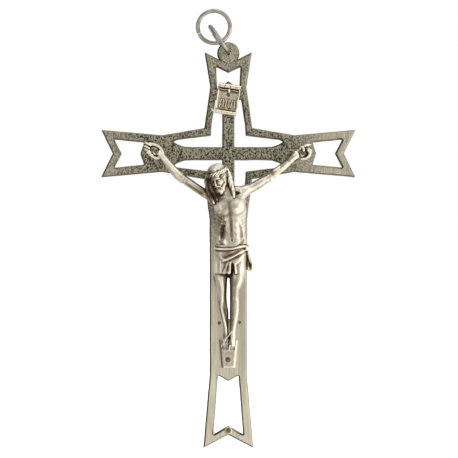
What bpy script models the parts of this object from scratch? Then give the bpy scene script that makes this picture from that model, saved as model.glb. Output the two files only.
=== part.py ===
"""Hanging crucifix.

An openwork cross plate with fishtail ends carries a cast figure, a small
scroll above it and a footrest below it.  Rivet-like nails hold them to the
plate, and two equal wire rings hang the cross from the lug at its top.

Frame: the origin lies on the plate's flat back face, where the middle lines
of the upright and of the crossbar meet.  +X runs along the crossbar, +Y points
out of the back, +Z is up.  Left means -X and right means +X, as seen from the
front.  Numbers are millimetres; MM turns them into metres when a mesh is made.
Flat outlines are lists of (x, z), counter-clockwise as seen from the front.
"""
import math

import bpy
import bmesh
from mathutils import Matrix, Vector

MM = 0.001

# ---- plate -----------------------------------------------------------------
PLATE_T = 2.0
FRONT = -PLATE_T         # y of the front face; the back face is at y = 0
FIT_GAP = 0.15           # clearance under every part that lies on another

# front bevels: width, depth
OUTLINE_BEVEL = (0.40, 0.45)
OPENING_BEVEL = (0.50, 0.90)
SLOT_BEVEL = (0.15, 0.30)

# corners of the outline: x, z
FOOT_TIP = (6.95, -81.73)
SHAFT_END = (5.20, -61.60)
SHAFT_TOP = (5.20, -18.45)
INNER_CORNER = (6.67, 7.12)
ARM_WAIST = (18.40, 5.10)
ARM_TIP = (35.39, 6.60)
UPRIGHT_WAIST = (5.03, 18.45)
HORN_TIP = (6.60, 28.24)
ARM_NOTCH_X = 32.16
FOOT_NOTCH_Z = -78.30

LUG_Z = 27.91
LUG_R = 3.10
LUG_BORE_R = 1.00
LUG_ROOT = (2.563, 26.166)           # where the lug's arc starts on the right

# openings: x, z
TOP_OPENING = [
    (3.10, 18.07), (3.09, 18.49), (3.36, 24.13), (0.0, 22.50),
    (-3.36, 24.13), (-3.09, 18.49), (-3.10, 18.07), (0.0, 20.20)]
SIDE_OPENING = [
    (24.50, 0.0), (23.50, -3.08), (31.75, -3.90),
    (29.70, 0.0), (31.75, 3.90), (23.50, 3.08)]
FOOT_OPENING = [
    (0.0, -75.80), (4.11, -78.20), (2.82, -61.60),
    (0.0, -63.10), (-2.82, -61.60), (-4.11, -78.20)]
BAR_HALF = 1.72          # half width of the thin inner cross
CORNER_OPENING = [
    (BAR_HALF, BAR_HALF + 0.11), (9.29, 1.83), (12.20, 1.92), (14.04, 2.56),
    (15.00, 3.10), (15.10, 3.45), (14.04, 3.86), (9.29, 4.42), (4.81, 5.00),
    (4.64, 8.00), (3.53, 15.00), (BAR_HALF, 15.00)]
SLOT_HALF = 1.25         # half width of the slot in the shaft behind the legs
SLOT_TOP = -20.9
SLOT_BOTTOM = -46.1

# round boss near the foot
BOSS_AXIS = (0.0, -76.95)
BOSS_R = 1.10
BOSS_H = 0.35
BOSS_ROOT = 0.9          # how far its blank reaches into the plate

# two blind pits beside the ankles
PIT_AXES = ((-2.50, -47.10), (3.10, -46.90))
PIT_R = 0.42
PIT_FLOOR_R = PIT_R * 0.7
PIT_DEPTH = 0.60

# ---- scroll and footrest sizes ---------------------------------------------
TITLE_CENTRE = (-0.17, 15.02)
TITLE_W = 6.3
TITLE_TAPER = 0.12                   # half width lost from top to bottom
TITLE_TILT = math.radians(9.0)       # turned clockwise as seen from the front
TITLE_T = 0.55
TOP_ROLL = (3.65, 0.62)              # height above the centre, radius
BOTTOM_ROLL = (-3.70, 0.55)
ROLL_END = 1.05                      # roll radii from roll height back to the flat face

REST_T = 1.70
REST_BEVEL_W = 0.14
REST_BEVEL_D = 0.35
REST_OUTLINE = [
    (-1.92, -59.60), (1.98, -59.60), (2.72, -51.70), (2.28, -51.75), (1.85, -54.50),
    (0.07, -55.50), (-1.75, -54.50), (-2.12, -51.85), (-2.55, -51.80)]

# ---- fastening nails -------------------------------------------------------
BORE_R = 0.62
SINK_R = 1.00            # countersink radius at the back face
SINK_DEPTH = 0.60
SHANK_R = 0.45
HEAD_R = 0.62
HEAD_H = 0.35
HEAD_TIP_R = 0.009
DOME = ((0.55, 0.82), (0.88, 0.40))  # shares of head radius, head height
TAIL_R = SINK_R - 0.22
TAIL_START_Y = -SINK_DEPTH + 0.08    # the tail spreads between these two
TAIL_END_Y = -0.06

# nail axes: x, z
LEFT_HAND = (-19.93, 0.52)
RIGHT_HAND = (20.92, -0.01)
FEET = (0.33, -52.43)
FOOTREST_NAIL = (-0.11, -57.16)
TITLE_NAIL = (0.06, 16.31)

HAND_HEAD_Y = FRONT - FIT_GAP - 1.78
NAILS = (   # name, axis, y of the head's underside
    ("left_hand_nail", LEFT_HAND, HAND_HEAD_Y),
    ("right_hand_nail", RIGHT_HAND, HAND_HEAD_Y),
    ("foot_nail", FEET, -6.35),
    ("footrest_nail", FOOTREST_NAIL, FRONT - FIT_GAP * 2 - REST_T),
    ("title_nail", TITLE_NAIL, FRONT - FIT_GAP * 2 - TITLE_T),
)

# ---- figure ----------------------------------------------------------------
# columns: z, centre x, half width, centre y, half depth
TORSO = (
    (-11.4, 0.10, 4.30, -6.2, 1.50),
    (-13.6, 0.45, 4.75, -6.2, 2.10),
    (-17.0, 0.80, 4.05, -6.1, 2.40),
    (-20.1, 1.00, 3.75, -6.0, 2.15),
    (-23.1, 0.80, 3.85, -5.9, 2.05),
    (-26.5, 0.90, 4.45, -5.8, 2.20),
)
CLOTH = (
    (-25.2, 0.90, 4.55, -5.8, 2.35),
    (-26.4, 0.90, 4.75, -5.8, 2.55),
    (-29.0, 0.70, 4.75, -5.9, 2.65),
    (-33.0, 0.55, 4.65, -6.1, 2.50),
)
LEFT_LEG = (
    (-31.0, -1.90, 2.05, -6.0, 2.10),
    (-34.0, -2.20, 2.00, -6.2, 1.90),
    (-37.3, -1.84, 1.46, -6.7, 1.65),
    (-40.3, -1.72, 1.28, -7.2, 1.50),
    (-42.0, -1.38, 1.14, -7.0, 1.40),
    (-43.5, -1.18, 1.20, -6.7, 1.35),
    (-45.4, -0.90, 0.98, -6.3, 1.20),
    (-48.0, -0.62, 0.72, -5.8, 0.92),
    (-51.0, -0.60, 0.72, -5.3, 0.85),
)
RIGHT_LEG = (
    (-31.0, 2.75, 2.15, -6.0, 2.10),
    (-34.2, 2.52, 2.18, -6.4, 1.95),
    (-37.2, 1.96, 1.54, -6.9, 1.70),
    (-40.3, 1.82, 1.42, -7.5, 1.55),
    (-43.3, 1.86, 1.50, -7.0, 1.45),
    (-45.9, 1.66, 1.26, -6.5, 1.30),
    (-48.5, 1.28, 0.84, -5.9, 1.00),
    (-51.0, 1.22, 0.78, -5.6, 0.90),
)

# arms: point and radius at shoulder, elbow, wrist and palm
LEFT_ARM = (
    ((-4.00, -6.10, -12.50), 1.35), ((-12.80, -4.70, -6.80), 1.30),
    ((-16.00, -3.90, -3.20), 1.15), ((-18.70, -3.15, -0.10), 0.78),
)
RIGHT_ARM = (
    ((4.20, -6.10, -11.10), 1.35), ((11.60, -4.70, -6.60), 1.10),
    ((15.00, -3.90, -3.40), 1.12), ((18.50, -3.15, -0.70), 0.78),
)

# hands, lying on the plate
HAND_Y = FRONT - FIT_GAP - 0.85
FINGER_CURL = 0.25                   # how far the tips stand in front of the roots
FINGER_ROOT_R = 0.52
FINGER_TIP_R = 0.40
FINGERS = (     # root x, z and tip x, z; the last of each hand is the thumb
    ((-20.6, 1.5), (-22.9, 2.75)), ((-21.0, 1.0), (-22.9, 1.7)),
    ((-21.0, 0.3), (-22.5, 0.7)), ((-20.9, -0.3), (-21.9, -0.2)),
    ((-19.4, -0.3), (-19.9, -1.35)),
    ((21.2, 1.0), (22.6, 2.45)), ((21.7, 0.6), (23.1, 1.8)),
    ((21.9, 0.1), (23.0, 0.7)), ((21.6, -0.6), (22.5, -0.5)),
    ((20.2, -0.7), (20.3, -1.6)),
)

# blobs: centre, radii
SHOULDERS = (
    ((-2.6, -6.3, -13.4), (2.6, 2.0, 2.4)),
    ((3.2, -6.3, -12.8), (2.6, 2.0, 2.4)),
)
PALMS = (
    ((-20.1, HAND_Y, 0.75), (1.75, 0.80, 1.35)),
    ((20.7, HAND_Y, 0.05), (1.65, 0.80, 1.40)),
)
JOINED_FEET = ((0.2, -3.6, -52.6), (1.5, 1.35, 1.9))
CLOTH_KNOT = ((5.2, -6.6, -26.7), (0.9, 1.1, 1.0))
HEAD_TILT = math.radians(18.0)       # the top of the head leans to -X
HEAD = ((-2.70, -8.10, -6.90), (2.75, 3.05, 3.75))
BEARD = ((-2.1, -8.9, -10.1), (1.5, 1.5, 1.9))

# bones: start, end, radius at start, radius at end
LEFT_FOOT = ((-0.65, -5.2, -50.8), (-0.75, -4.3, -53.6), 0.95, 0.75)
RIGHT_FOOT = ((1.25, -5.6, -50.6), (0.65, -4.9, -54.0), 0.95, 0.80)
CLOTH_END = ((5.4, -6.2, -27.2), (6.0, -4.9, -31.6), 0.75, 1.0)
NECK = ((0.2, -6.4, -12.4), (-1.6, -7.3, -9.0), 1.7, 1.6)
LEFT_HAIR = ((-4.3, -7.3, -8.0), (-3.9, -6.9, -12.4), 1.2, 0.8)
RIGHT_HAIR = ((-0.5, -7.3, -6.6), (1.1, -6.9, -11.6), 1.1, 0.7)

SKIN_VOXEL = 0.34
SKIN_KEEP = 0.13         # share of the skin's faces kept

# ---- rings -----------------------------------------------------------------
RING_R = 4.49            # centreline radius
WIRE_R = 0.57
RING_GAP = math.radians(3.0)         # butt joint of each bent ring
RING_STEPS = 44
WIRE_SIDES = 10
LINK_LEAN = math.radians(34.3)       # lean of the link to -X
LINK_SEAM = math.radians(40.0)
HANGER_SEAM = math.radians(204.0)
RING_Y = -PLATE_T / 2
HANGER_CENTRE = (-4.00, 35.28)       # x, z


# ---- flat outlines ---------------------------------------------------------
def arc(centre_x, centre_z, radius, start, end, count):
    """Points on an arc, both ends included, angles in degrees."""
    angles = [math.radians(start + (end - start) * i / count) for i in range(count + 1)]
    return [(centre_x + radius * math.cos(a), centre_z + radius * math.sin(a))
            for a in angles]


def circle(axis, radius, count):
    return arc(*axis, radius, 0.0, 360.0, count)[:-1]


def mirror_x(points):
    """The same shape on the other side, still counter-clockwise."""
    return [(-x, z) for x, z in reversed(points)]


def mirror_z(points):
    return [(x, -z) for x, z in reversed(points)]


def offset_loop(loop, distance):
    """Move a closed loop to the left of its direction, with mitred corners."""
    moved = []
    for i, (x, z) in enumerate(loop):
        before_x, before_z = loop[i - 1]
        after_x, after_z = loop[(i + 1) % len(loop)]
        arriving = Vector((x - before_x, z - before_z)).normalized()
        leaving = Vector((after_x - x, after_z - z)).normalized()
        normal_in = Vector((-arriving.y, arriving.x))
        normal_out = Vector((-leaving.y, leaving.x))
        mitre = (normal_in + normal_out) / max(0.25, 1.0 + normal_in.dot(normal_out))
        moved.append((x + mitre.x * distance, z + mitre.y * distance))
    return moved


def edge_rings(loop, profile):
    """A 3D ring for each (offset, y) of the profile."""
    return [[(x, y, z) for x, z in offset_loop(loop, offset)] for offset, y in profile]


# ---- meshes ----------------------------------------------------------------
def full_turn(count):
    return [2 * math.pi * i / count for i in range(count)]


def add_walls(bm, rings):
    """Quads between rings of equal length; returns the vertices of each ring."""
    verts = [[bm.verts.new(point) for point in ring] for ring in rings]
    for ring, following in zip(verts, verts[1:]):
        for i in range(len(ring)):
            j = (i + 1) % len(ring)
            bm.faces.new((ring[i], ring[j], following[j], following[i]))
    return verts


def add_loft(bm, rings):
    """Walls closed by an n-gon at each end."""
    verts = add_walls(bm, rings)
    bm.faces.new(verts[0])
    bm.faces.new(list(reversed(verts[-1])))


def add_turned(bm, axis, profile, count):
    """A round solid along Y from a profile of (radius, y)."""
    add_loft(bm, [[(x, y, z) for x, z in circle(axis, radius, count)]
                  for radius, y in profile])


def make_object(name, bm, mat=None, origin=(0.0, 0.0, 0.0), smooth=None):
    """An object from a bmesh in millimetres; smooth is the sharp-edge angle in degrees."""
    bmesh.ops.recalc_face_normals(bm, faces=bm.faces[:])
    mesh = bpy.data.meshes.new(name)
    bm.to_mesh(mesh)
    bm.free()
    mesh.transform(Matrix.Scale(MM, 4) @ Matrix.Translation(-Vector(origin)))
    if smooth is not None:
        mesh.shade_smooth()
        mesh.set_sharp_from_angle(angle=math.radians(smooth))
    if mat is not None:
        mesh.materials.append(mat)
    obj = bpy.data.objects.new(name, mesh)
    obj.location = Vector(origin) * MM
    bpy.context.scene.collection.objects.link(obj)
    return obj


def apply_rods(obj, name, axes, radius, y_range, count, operation):
    """A boolean with one hidden helper holding a round rod on each axis."""
    bm = bmesh.new()
    for axis in axes:
        add_turned(bm, axis, [(radius, y) for y in y_range], count)
    helper = make_object(name, bm)
    helper.hide_render = True
    helper.display_type = "WIRE"
    modifier = obj.modifiers.new(name, "BOOLEAN")
    modifier.operation = operation
    modifier.solver = "EXACT"
    modifier.object = helper


def bore_fitting(obj, name, axis):
    """The nail's bore through a part that lies on the plate."""
    apply_rods(obj, name, [axis], BORE_R, (FRONT + 1.0, FRONT - 3.0), 14, "DIFFERENCE")


def metal(name, colour, roughness):
    mat = bpy.data.materials.new(name)
    mat.use_nodes = True
    bsdf = mat.node_tree.nodes["Principled BSDF"]
    bsdf.inputs["Base Color"].default_value = (*colour, 1.0)
    bsdf.inputs["Roughness"].default_value = roughness
    bsdf.inputs["Metallic"].default_value = 1.0
    mat.diffuse_color = (*colour, 1.0)
    return mat


# ---- cross plate -----------------------------------------------------------
def plate_outline():
    root_x, root_z = LUG_ROOT
    start = math.degrees(math.atan2(root_z - LUG_Z, root_x))
    lug = arc(0.0, LUG_Z, LUG_R, start, 180.0 - start, 22)
    upper_arm = [ARM_TIP, ARM_WAIST, INNER_CORNER]
    right = [FOOT_TIP, SHAFT_END, SHAFT_TOP, *mirror_z(upper_arm), (ARM_NOTCH_X, 0.0),
             *upper_arm, UPRIGHT_WAIST, HORN_TIP]
    return [(0.0, FOOT_NOTCH_Z)] + right + lug + mirror_x(right)


def bevelled_openings():
    lower_corner = mirror_z(CORNER_OPENING)
    return [TOP_OPENING, SIDE_OPENING, mirror_x(SIDE_OPENING), FOOT_OPENING,
            CORNER_OPENING, mirror_x(CORNER_OPENING), lower_corner, mirror_x(lower_corner)]


def shaft_slot():
    return (arc(0.0, SLOT_TOP - SLOT_HALF, SLOT_HALF, 0.0, 180.0, 8)
            + arc(0.0, SLOT_BOTTOM + SLOT_HALF, SLOT_HALF, 180.0, 360.0, 8))


def bevel_profile(bevel):
    """(offset, y) from the back face to a bevelled front edge."""
    width, depth = bevel
    return [(0.0, 0.0), (0.0, FRONT + depth), (width, FRONT)]


def ring_edges(bm, ring):
    return [bm.edges.get(pair) for pair in zip(ring, ring[1:] + ring[:1])]


def build_plate(mat):
    lug_bore = [(0.0, 0.0), (0.0, FRONT)]
    nail_bore = [(SINK_R - BORE_R, 0.0), (0.0, -SINK_DEPTH), (0.0, FRONT)]
    holes = [(loop, bevel_profile(OPENING_BEVEL)) for loop in bevelled_openings()]
    holes.append((shaft_slot(), bevel_profile(SLOT_BEVEL)))
    holes.append((circle((0.0, LUG_Z), LUG_BORE_R, 20), lug_bore))
    holes += [(circle(axis, BORE_R, 14), nail_bore) for _, axis, _ in NAILS]

    # holes run clockwise, so that their offsets also go into the metal
    walls = [(plate_outline(), bevel_profile(OUTLINE_BEVEL))]
    walls += [(list(reversed(loop)), profile) for loop, profile in holes]

    bm = bmesh.new()
    back = []
    front = []
    for loop, profile in walls:
        rings = add_walls(bm, edge_rings(loop, profile))
        back += ring_edges(bm, rings[0])
        front += ring_edges(bm, rings[-1])
    for axis in PIT_AXES:
        levels = ((PIT_R, FRONT), (PIT_FLOOR_R, FRONT + PIT_DEPTH))
        rim, floor = add_walls(bm, [[(x, y, z) for x, z in circle(axis, radius, 10)]
                                    for radius, y in levels])
        bm.faces.new(floor)
        front += ring_edges(bm, rim)
    bmesh.ops.triangle_fill(bm, use_beauty=True, edges=back, normal=(0, 1, 0))
    bmesh.ops.triangle_fill(bm, use_beauty=True, edges=front, normal=(0, -1, 0))
    plate = make_object("cross_plate", bm, mat)
    apply_rods(plate, "boss_blank", [BOSS_AXIS], BOSS_R,
               (FRONT + BOSS_ROOT, FRONT - BOSS_H), 18, "UNION")


# ---- parts on the plate ----------------------------------------------------
def build_nail(name, axis, head_y, mat):
    """A domed head in front, a round shank, and a tail spread into the countersink."""
    profile = [(HEAD_TIP_R, head_y - HEAD_H)]
    profile += [(HEAD_R * across, head_y - HEAD_H * high) for across, high in DOME]
    profile += [(HEAD_R, head_y), (SHANK_R, head_y),
                (SHANK_R, TAIL_START_Y), (TAIL_R, TAIL_END_Y)]
    bm = bmesh.new()
    add_turned(bm, axis, profile, 14)
    x, z = axis
    make_object(name, bm, mat, origin=(x, head_y, z), smooth=40)


def roll_points(height, radius, direction):
    """One rolled end, from the sheet's underside round; direction is +1 up, -1 down."""
    angles = [math.radians(degrees) for degrees in range(30, 241, 30)]
    return [(height + direction * radius * math.sin(a),
             FIT_GAP + radius - radius * math.cos(a)) for a in angles]


def build_scroll(mat):
    """A small sheet rolled towards the front at its top and bottom."""
    across = Vector((math.cos(TITLE_TILT), 0.0, -math.sin(TITLE_TILT)))
    upward = Vector((math.sin(TITLE_TILT), 0.0, math.cos(TITLE_TILT)))
    forward = Vector((0.0, -1.0, 0.0))
    centre = Vector((TITLE_CENTRE[0], FRONT, TITLE_CENTRE[1]))
    top, top_r = TOP_ROLL
    bottom, bottom_r = BOTTOM_ROLL
    face = FIT_GAP + TITLE_T

    # side view: height along the sheet, distance in front of the plate
    outline = [(bottom, FIT_GAP), (top, FIT_GAP)]
    outline += roll_points(top, top_r, 1)
    outline += [(top - top_r * ROLL_END, face), (0.0, face),
                (bottom + bottom_r * ROLL_END, face)]
    outline += reversed(roll_points(bottom, bottom_r, -1))

    rings = []
    for side in (-1.0, 1.0):
        ring = []
        for height, lift in outline:
            half = TITLE_W / 2 - TITLE_TAPER * (top - height) / (top - bottom)
            ring.append(centre + across * (side * half) + upward * height + forward * lift)
        rings.append(ring)
    bm = bmesh.new()
    add_loft(bm, rings)
    bore_fitting(make_object("title_scroll", bm, mat), "title_bore", TITLE_NAIL)


def build_footrest(mat):
    back_y = FRONT - FIT_GAP
    front_y = back_y - REST_T
    profile = ((0.0, back_y), (0.0, front_y + REST_BEVEL_D), (REST_BEVEL_W, front_y))
    bm = bmesh.new()
    add_loft(bm, edge_rings(REST_OUTLINE, profile))
    bore_fitting(make_object("footrest", bm, mat), "footrest_bore", FOOTREST_NAIL)


# ---- figure ----------------------------------------------------------------
def add_column(bm, sections):
    """A body lofted through level ellipses."""
    add_loft(bm, [[(x + half_x * math.cos(a), y + half_y * math.sin(a), z)
                   for a in full_turn(14)]
                  for z, x, half_x, y, half_y in sections])


def add_bone(bm, start, end, start_r, end_r, count=12):
    """A limb: a tapered tube with rounded ends between two points."""
    start, end = Vector(start), Vector(end)
    along = (end - start).normalized()
    side = along.cross(Vector((0, 1, 0))).normalized()
    other = along.cross(side)
    stations = []
    for angle in map(math.radians, (80, 45, 0)):
        stations.append((start - along * start_r * math.sin(angle), start_r * math.cos(angle)))
    for angle in map(math.radians, (0, 45, 80)):
        stations.append((end + along * end_r * math.sin(angle), end_r * math.cos(angle)))
    add_loft(bm, [[centre + (side * math.cos(a) + other * math.sin(a)) * radius
                   for a in full_turn(count)] for centre, radius in stations])


def add_blob(bm, centre, radii, tilt=0.0):
    """An ellipsoid, its top leaning to -X by tilt."""
    matrix = (Matrix.Translation(Vector(centre)) @ Matrix.Rotation(-tilt, 4, "Y")
              @ Matrix.Diagonal((*radii, 1.0)))
    bmesh.ops.create_icosphere(bm, subdivisions=2, radius=1.0, matrix=matrix)


def add_hands(bm):
    for palm in PALMS:
        add_blob(bm, *palm)
    for (root_x, root_z), (tip_x, tip_z) in FINGERS:
        add_bone(bm, (root_x, HAND_Y, root_z), (tip_x, HAND_Y - FINGER_CURL, tip_z),
                 FINGER_ROOT_R, FINGER_TIP_R, count=10)


def build_corpus(mat):
    """Overlapping body parts, fused by a voxel skin and then bored for the nails."""
    bm = bmesh.new()
    for sections in (TORSO, CLOTH, LEFT_LEG, RIGHT_LEG):
        add_column(bm, sections)
    for shoulder in SHOULDERS:
        add_blob(bm, *shoulder)
    for arm in (LEFT_ARM, RIGHT_ARM):
        for (start, start_r), (end, end_r) in zip(arm, arm[1:]):
            add_bone(bm, start, end, start_r, end_r)
    add_hands(bm)
    # the right foot lies over the left
    add_bone(bm, *LEFT_FOOT)
    add_bone(bm, *RIGHT_FOOT)
    add_blob(bm, *JOINED_FEET)
    add_blob(bm, *CLOTH_KNOT)
    add_bone(bm, *CLOTH_END)
    add_bone(bm, *NECK)
    add_blob(bm, *HEAD, tilt=HEAD_TILT)
    add_blob(bm, *BEARD, tilt=HEAD_TILT)
    add_bone(bm, *LEFT_HAIR)
    add_bone(bm, *RIGHT_HAIR)
    corpus = make_object("corpus", bm, mat)

    skin = corpus.modifiers.new("skin", "REMESH")
    skin.mode = "VOXEL"
    skin.voxel_size = SKIN_VOXEL * MM
    skin.use_smooth_shade = True
    thin = corpus.modifiers.new("thin", "DECIMATE")
    thin.ratio = SKIN_KEEP
    apply_rods(corpus, "corpus_bores", (LEFT_HAND, RIGHT_HAND, FEET), BORE_R,
               (1.0, -12.0), 12, "DIFFERENCE")


# ---- rings -----------------------------------------------------------------
def build_ring(name, centre, side, up, seam, origin, mat):
    """A wire ring in the plane of side and up, its butt joint at the angle seam."""
    normal = side.cross(up)
    rings = []
    for i in range(RING_STEPS + 1):
        angle = seam + RING_GAP / 2 + (2 * math.pi - RING_GAP) * i / RING_STEPS
        radial = side * math.cos(angle) + up * math.sin(angle)
        rings.append([centre + radial * RING_R
                      + (radial * math.cos(a) + normal * math.sin(a)) * WIRE_R
                      for a in full_turn(WIRE_SIDES)])
    bm = bmesh.new()
    add_loft(bm, rings)
    return make_object(name, bm, mat, origin=origin, smooth=50)


def build_rings(mat):
    # the link ring stands across the plate, through the lug's bore
    lug = Vector((0.0, RING_Y, LUG_Z))
    lean = Vector((-math.sin(LINK_LEAN), 0.0, math.cos(LINK_LEAN)))
    link = build_ring("link_ring", lug + lean * RING_R, Vector((0.0, 1.0, 0.0)), lean,
                      LINK_SEAM, lug, mat)

    # the hanging ring lies in the plate's plane and passes through the link;
    # its origin is where its centreline first crosses the link's leaning axis
    centre = Vector((HANGER_CENTRE[0], RING_Y, HANGER_CENTRE[1]))
    across = Vector((math.cos(LINK_LEAN), 0.0, math.sin(LINK_LEAN)))
    from_lug = centre - lug
    half_chord = math.sqrt(RING_R ** 2 - from_lug.dot(across) ** 2)
    pivot = lug + lean * (from_lug.dot(lean) - half_chord)
    hanger = build_ring("hanging_ring", centre, Vector((1.0, 0.0, 0.0)),
                        Vector((0.0, 0.0, 1.0)), HANGER_SEAM, pivot, mat)
    hanger.parent = link
    hanger.location -= link.location


def clear_scene():
    for obj in list(bpy.data.objects):
        bpy.data.objects.remove(obj, do_unlink=True)
    for mesh in list(bpy.data.meshes):
        bpy.data.meshes.remove(mesh)


def main():
    clear_scene()
    build_plate(metal("antique_silver_plate", colour=(0.52, 0.48, 0.40), roughness=0.42))
    build_corpus(metal("antique_silver_figure", colour=(0.66, 0.62, 0.54), roughness=0.30))
    build_scroll(metal("antique_silver_scroll", colour=(0.48, 0.44, 0.37), roughness=0.36))
    build_footrest(metal("antique_silver_footrest", colour=(0.58, 0.54, 0.47), roughness=0.34))
    nail_metal = metal("antique_silver_nails", colour=(0.40, 0.37, 0.31), roughness=0.38)
    for name, axis, head_y in NAILS:
        build_nail(name, axis, head_y, nail_metal)
    build_rings(metal("silver_wire", colour=(0.60, 0.58, 0.53), roughness=0.25))


main()
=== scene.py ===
"""A hanging crucifix in antique silver, built round its CAD solids.

It stands upright, facing -Y, with +Z up and +X at the viewer's right.  The plate runs from
y = 0 at the back to y = -2 at the front; the middle of its arms is at the origin.

The plate, rings and nails are polygon work.  The cast pieces (figure, scroll, footrest) are
signed distance fields meshed with surface nets; they carry measures of how deep a point lies
in a recess and how exposed it is on a ridge, and a layer of tarnish with painted shade and
painted highlights, which drive the finish.  Numbers are millimetres until a mesh is made,
and angles are degrees.
"""
import itertools
import math

import bpy
import bmesh
import numpy as np
from mathutils import Matrix, Vector


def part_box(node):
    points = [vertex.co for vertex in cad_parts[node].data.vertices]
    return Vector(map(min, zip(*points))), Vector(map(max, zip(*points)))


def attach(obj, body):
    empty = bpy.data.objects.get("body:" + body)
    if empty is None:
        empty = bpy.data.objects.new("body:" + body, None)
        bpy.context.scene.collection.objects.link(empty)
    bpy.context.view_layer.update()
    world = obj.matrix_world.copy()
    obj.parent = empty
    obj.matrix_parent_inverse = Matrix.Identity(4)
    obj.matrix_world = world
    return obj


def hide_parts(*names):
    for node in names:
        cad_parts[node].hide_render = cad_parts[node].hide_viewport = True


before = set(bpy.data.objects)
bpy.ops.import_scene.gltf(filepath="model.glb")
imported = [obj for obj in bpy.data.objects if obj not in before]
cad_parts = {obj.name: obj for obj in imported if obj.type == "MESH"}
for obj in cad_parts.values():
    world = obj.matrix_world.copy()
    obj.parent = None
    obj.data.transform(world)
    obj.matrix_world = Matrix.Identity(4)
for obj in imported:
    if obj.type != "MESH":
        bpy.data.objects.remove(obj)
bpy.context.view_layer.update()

METRES = 0.001           # metres in a millimetre
FLOAT = np.float32

FRONT = -2.0             # y of the plate's front face
NAILS = ("left_hand_nail", "right_hand_nail", "foot_nail", "footrest_nail", "title_nail")


def mm_box(node):
    low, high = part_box(node)
    return np.array(low) * 1000.0, np.array(high) * 1000.0


def paths(text):
    """Read a table: spaces part numbers, commas part points, semicolons part paths."""
    return [[tuple(map(float, point.split())) for point in path.split(",")]
            for path in text.split(";")]


def link_object(name, mesh):
    obj = bpy.data.objects.new(name, mesh)
    bpy.context.scene.collection.objects.link(obj)
    return obj


# ============================================================================
# signed distance modelling
# A primitive is its distance field with the centre and radius of its reach.
# ============================================================================
def vec(values):
    return np.array(values, dtype=FLOAT)


def at(x, z, proud, *rest):
    """A place standing proud of the plate's front face."""
    return (x, FRONT - proud, z, *rest)


def rot(yaw=0.0, pitch=0.0, roll=0.0):
    """Local axes as columns: yaw about Z, pitch about X, roll about Y."""
    turn = (Matrix.Rotation(math.radians(roll), 3, "Y")
            @ Matrix.Rotation(math.radians(pitch), 3, "X")
            @ Matrix.Rotation(math.radians(yaw), 3, "Z"))
    return np.array([[turn[i][j] for j in range(3)] for i in range(3)], dtype=FLOAT)


def aim(direction, side):
    """Local axes whose Z runs along a direction and whose Y is nearest to side."""
    z = np.array(direction, float)
    z /= np.linalg.norm(z)
    y = np.array(side, float) - z * np.dot(side, z)
    y /= np.linalg.norm(y)
    x = np.cross(y, z)
    return np.array([x, y, z], dtype=FLOAT).T


def smooth_min(first, second, blend):
    if blend <= 0:
        return np.minimum(first, second)
    near = np.maximum(blend - np.abs(first - second), 0.0) / blend
    return np.minimum(first, second) - near * near * (blend * 0.25)


def smooth_max(first, second, blend):
    return -smooth_min(-first, -second, blend)


def lengths(vectors):
    return np.sqrt(np.einsum("ij,ij->i", vectors, vectors))


def sphere_round(points):
    centre = points.mean(axis=0)
    return centre, float(np.sqrt(((points - centre) ** 2).sum(1).max()))


def cone(start, end, start_radius, end_radius=None):
    """A tapered rod with round ends."""
    start, end = vec(start), vec(end)
    if end_radius is None:
        end_radius = start_radius
    span = end - start
    squared = float(span @ span) + 1e-9

    def field(points):
        along = np.clip((points - start) @ span / squared, 0.0, 1.0)
        offset = points - start - along[:, None] * span
        return lengths(offset) - (start_radius + (end_radius - start_radius) * along)
    return field, (start + end) / 2, math.sqrt(squared) / 2 + max(start_radius, end_radius)


def ellipsoid(centre, radii, axes=None):
    centre, radii = vec(centre), vec(radii)
    squares = radii * radii

    def field(points):
        offset = points - centre
        if axes is not None:
            offset = offset @ axes
        scaled = lengths(offset / radii)
        return scaled * (scaled - 1.0) / np.maximum(lengths(offset / squares), 1e-5)
    return field, centre, float(radii.max())


def slab(centre, half, edge=0.0):
    """A box with rounded edges."""
    centre, half = vec(centre), vec(half) - FLOAT(edge)

    def field(points):
        over = np.abs(points - centre) - half
        return lengths(np.maximum(over, 0.0)) + np.minimum(over.max(axis=1), 0.0) - edge
    return field, centre, float(np.linalg.norm(half)) + edge


def spline(points, steps):
    """Catmull-Rom through points of any width (position and radius together)."""
    knots = [np.array(point, float) for point in points]
    knots = [2 * knots[0] - knots[1]] + knots + [2 * knots[-1] - knots[-2]]
    curve = []
    for i in range(1, len(knots) - 2):
        before, start, end, after = knots[i - 1:i + 3]
        for j in range(steps):
            t = j / steps
            curve.append(0.5 * (2 * start + (end - before) * t
                                + (2 * before - 5 * start + 4 * end - after) * t * t
                                + (3 * start - before - 3 * end + after) * t ** 3))
    curve.append(knots[-2])
    return curve


def rope(points, steps):
    """A tube on a smooth curve through (x, y, z, radius) points."""
    curve = spline(points, steps)
    pieces = [cone(a[:3], b[:3], float(a[3]), float(b[3])) for a, b in zip(curve, curve[1:])]
    places = np.array([point[:3] for point in curve])
    middle = (places.min(0) + places.max(0)) / 2
    reach = max(float(np.linalg.norm(point[:3] - middle)) + abs(float(point[3]))
                for point in curve)

    def field(points):
        centre, radius = sphere_round(points)
        nearest = None
        for piece, piece_centre, piece_reach in pieces:
            gap = float(np.linalg.norm(piece_centre - centre))
            if nearest is not None and gap > piece_reach + radius + 1.2:
                continue
            distance = piece(points)
            nearest = distance if nearest is None else np.minimum(nearest, distance)
        return nearest
    return field, middle.astype(FLOAT), reach


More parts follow.
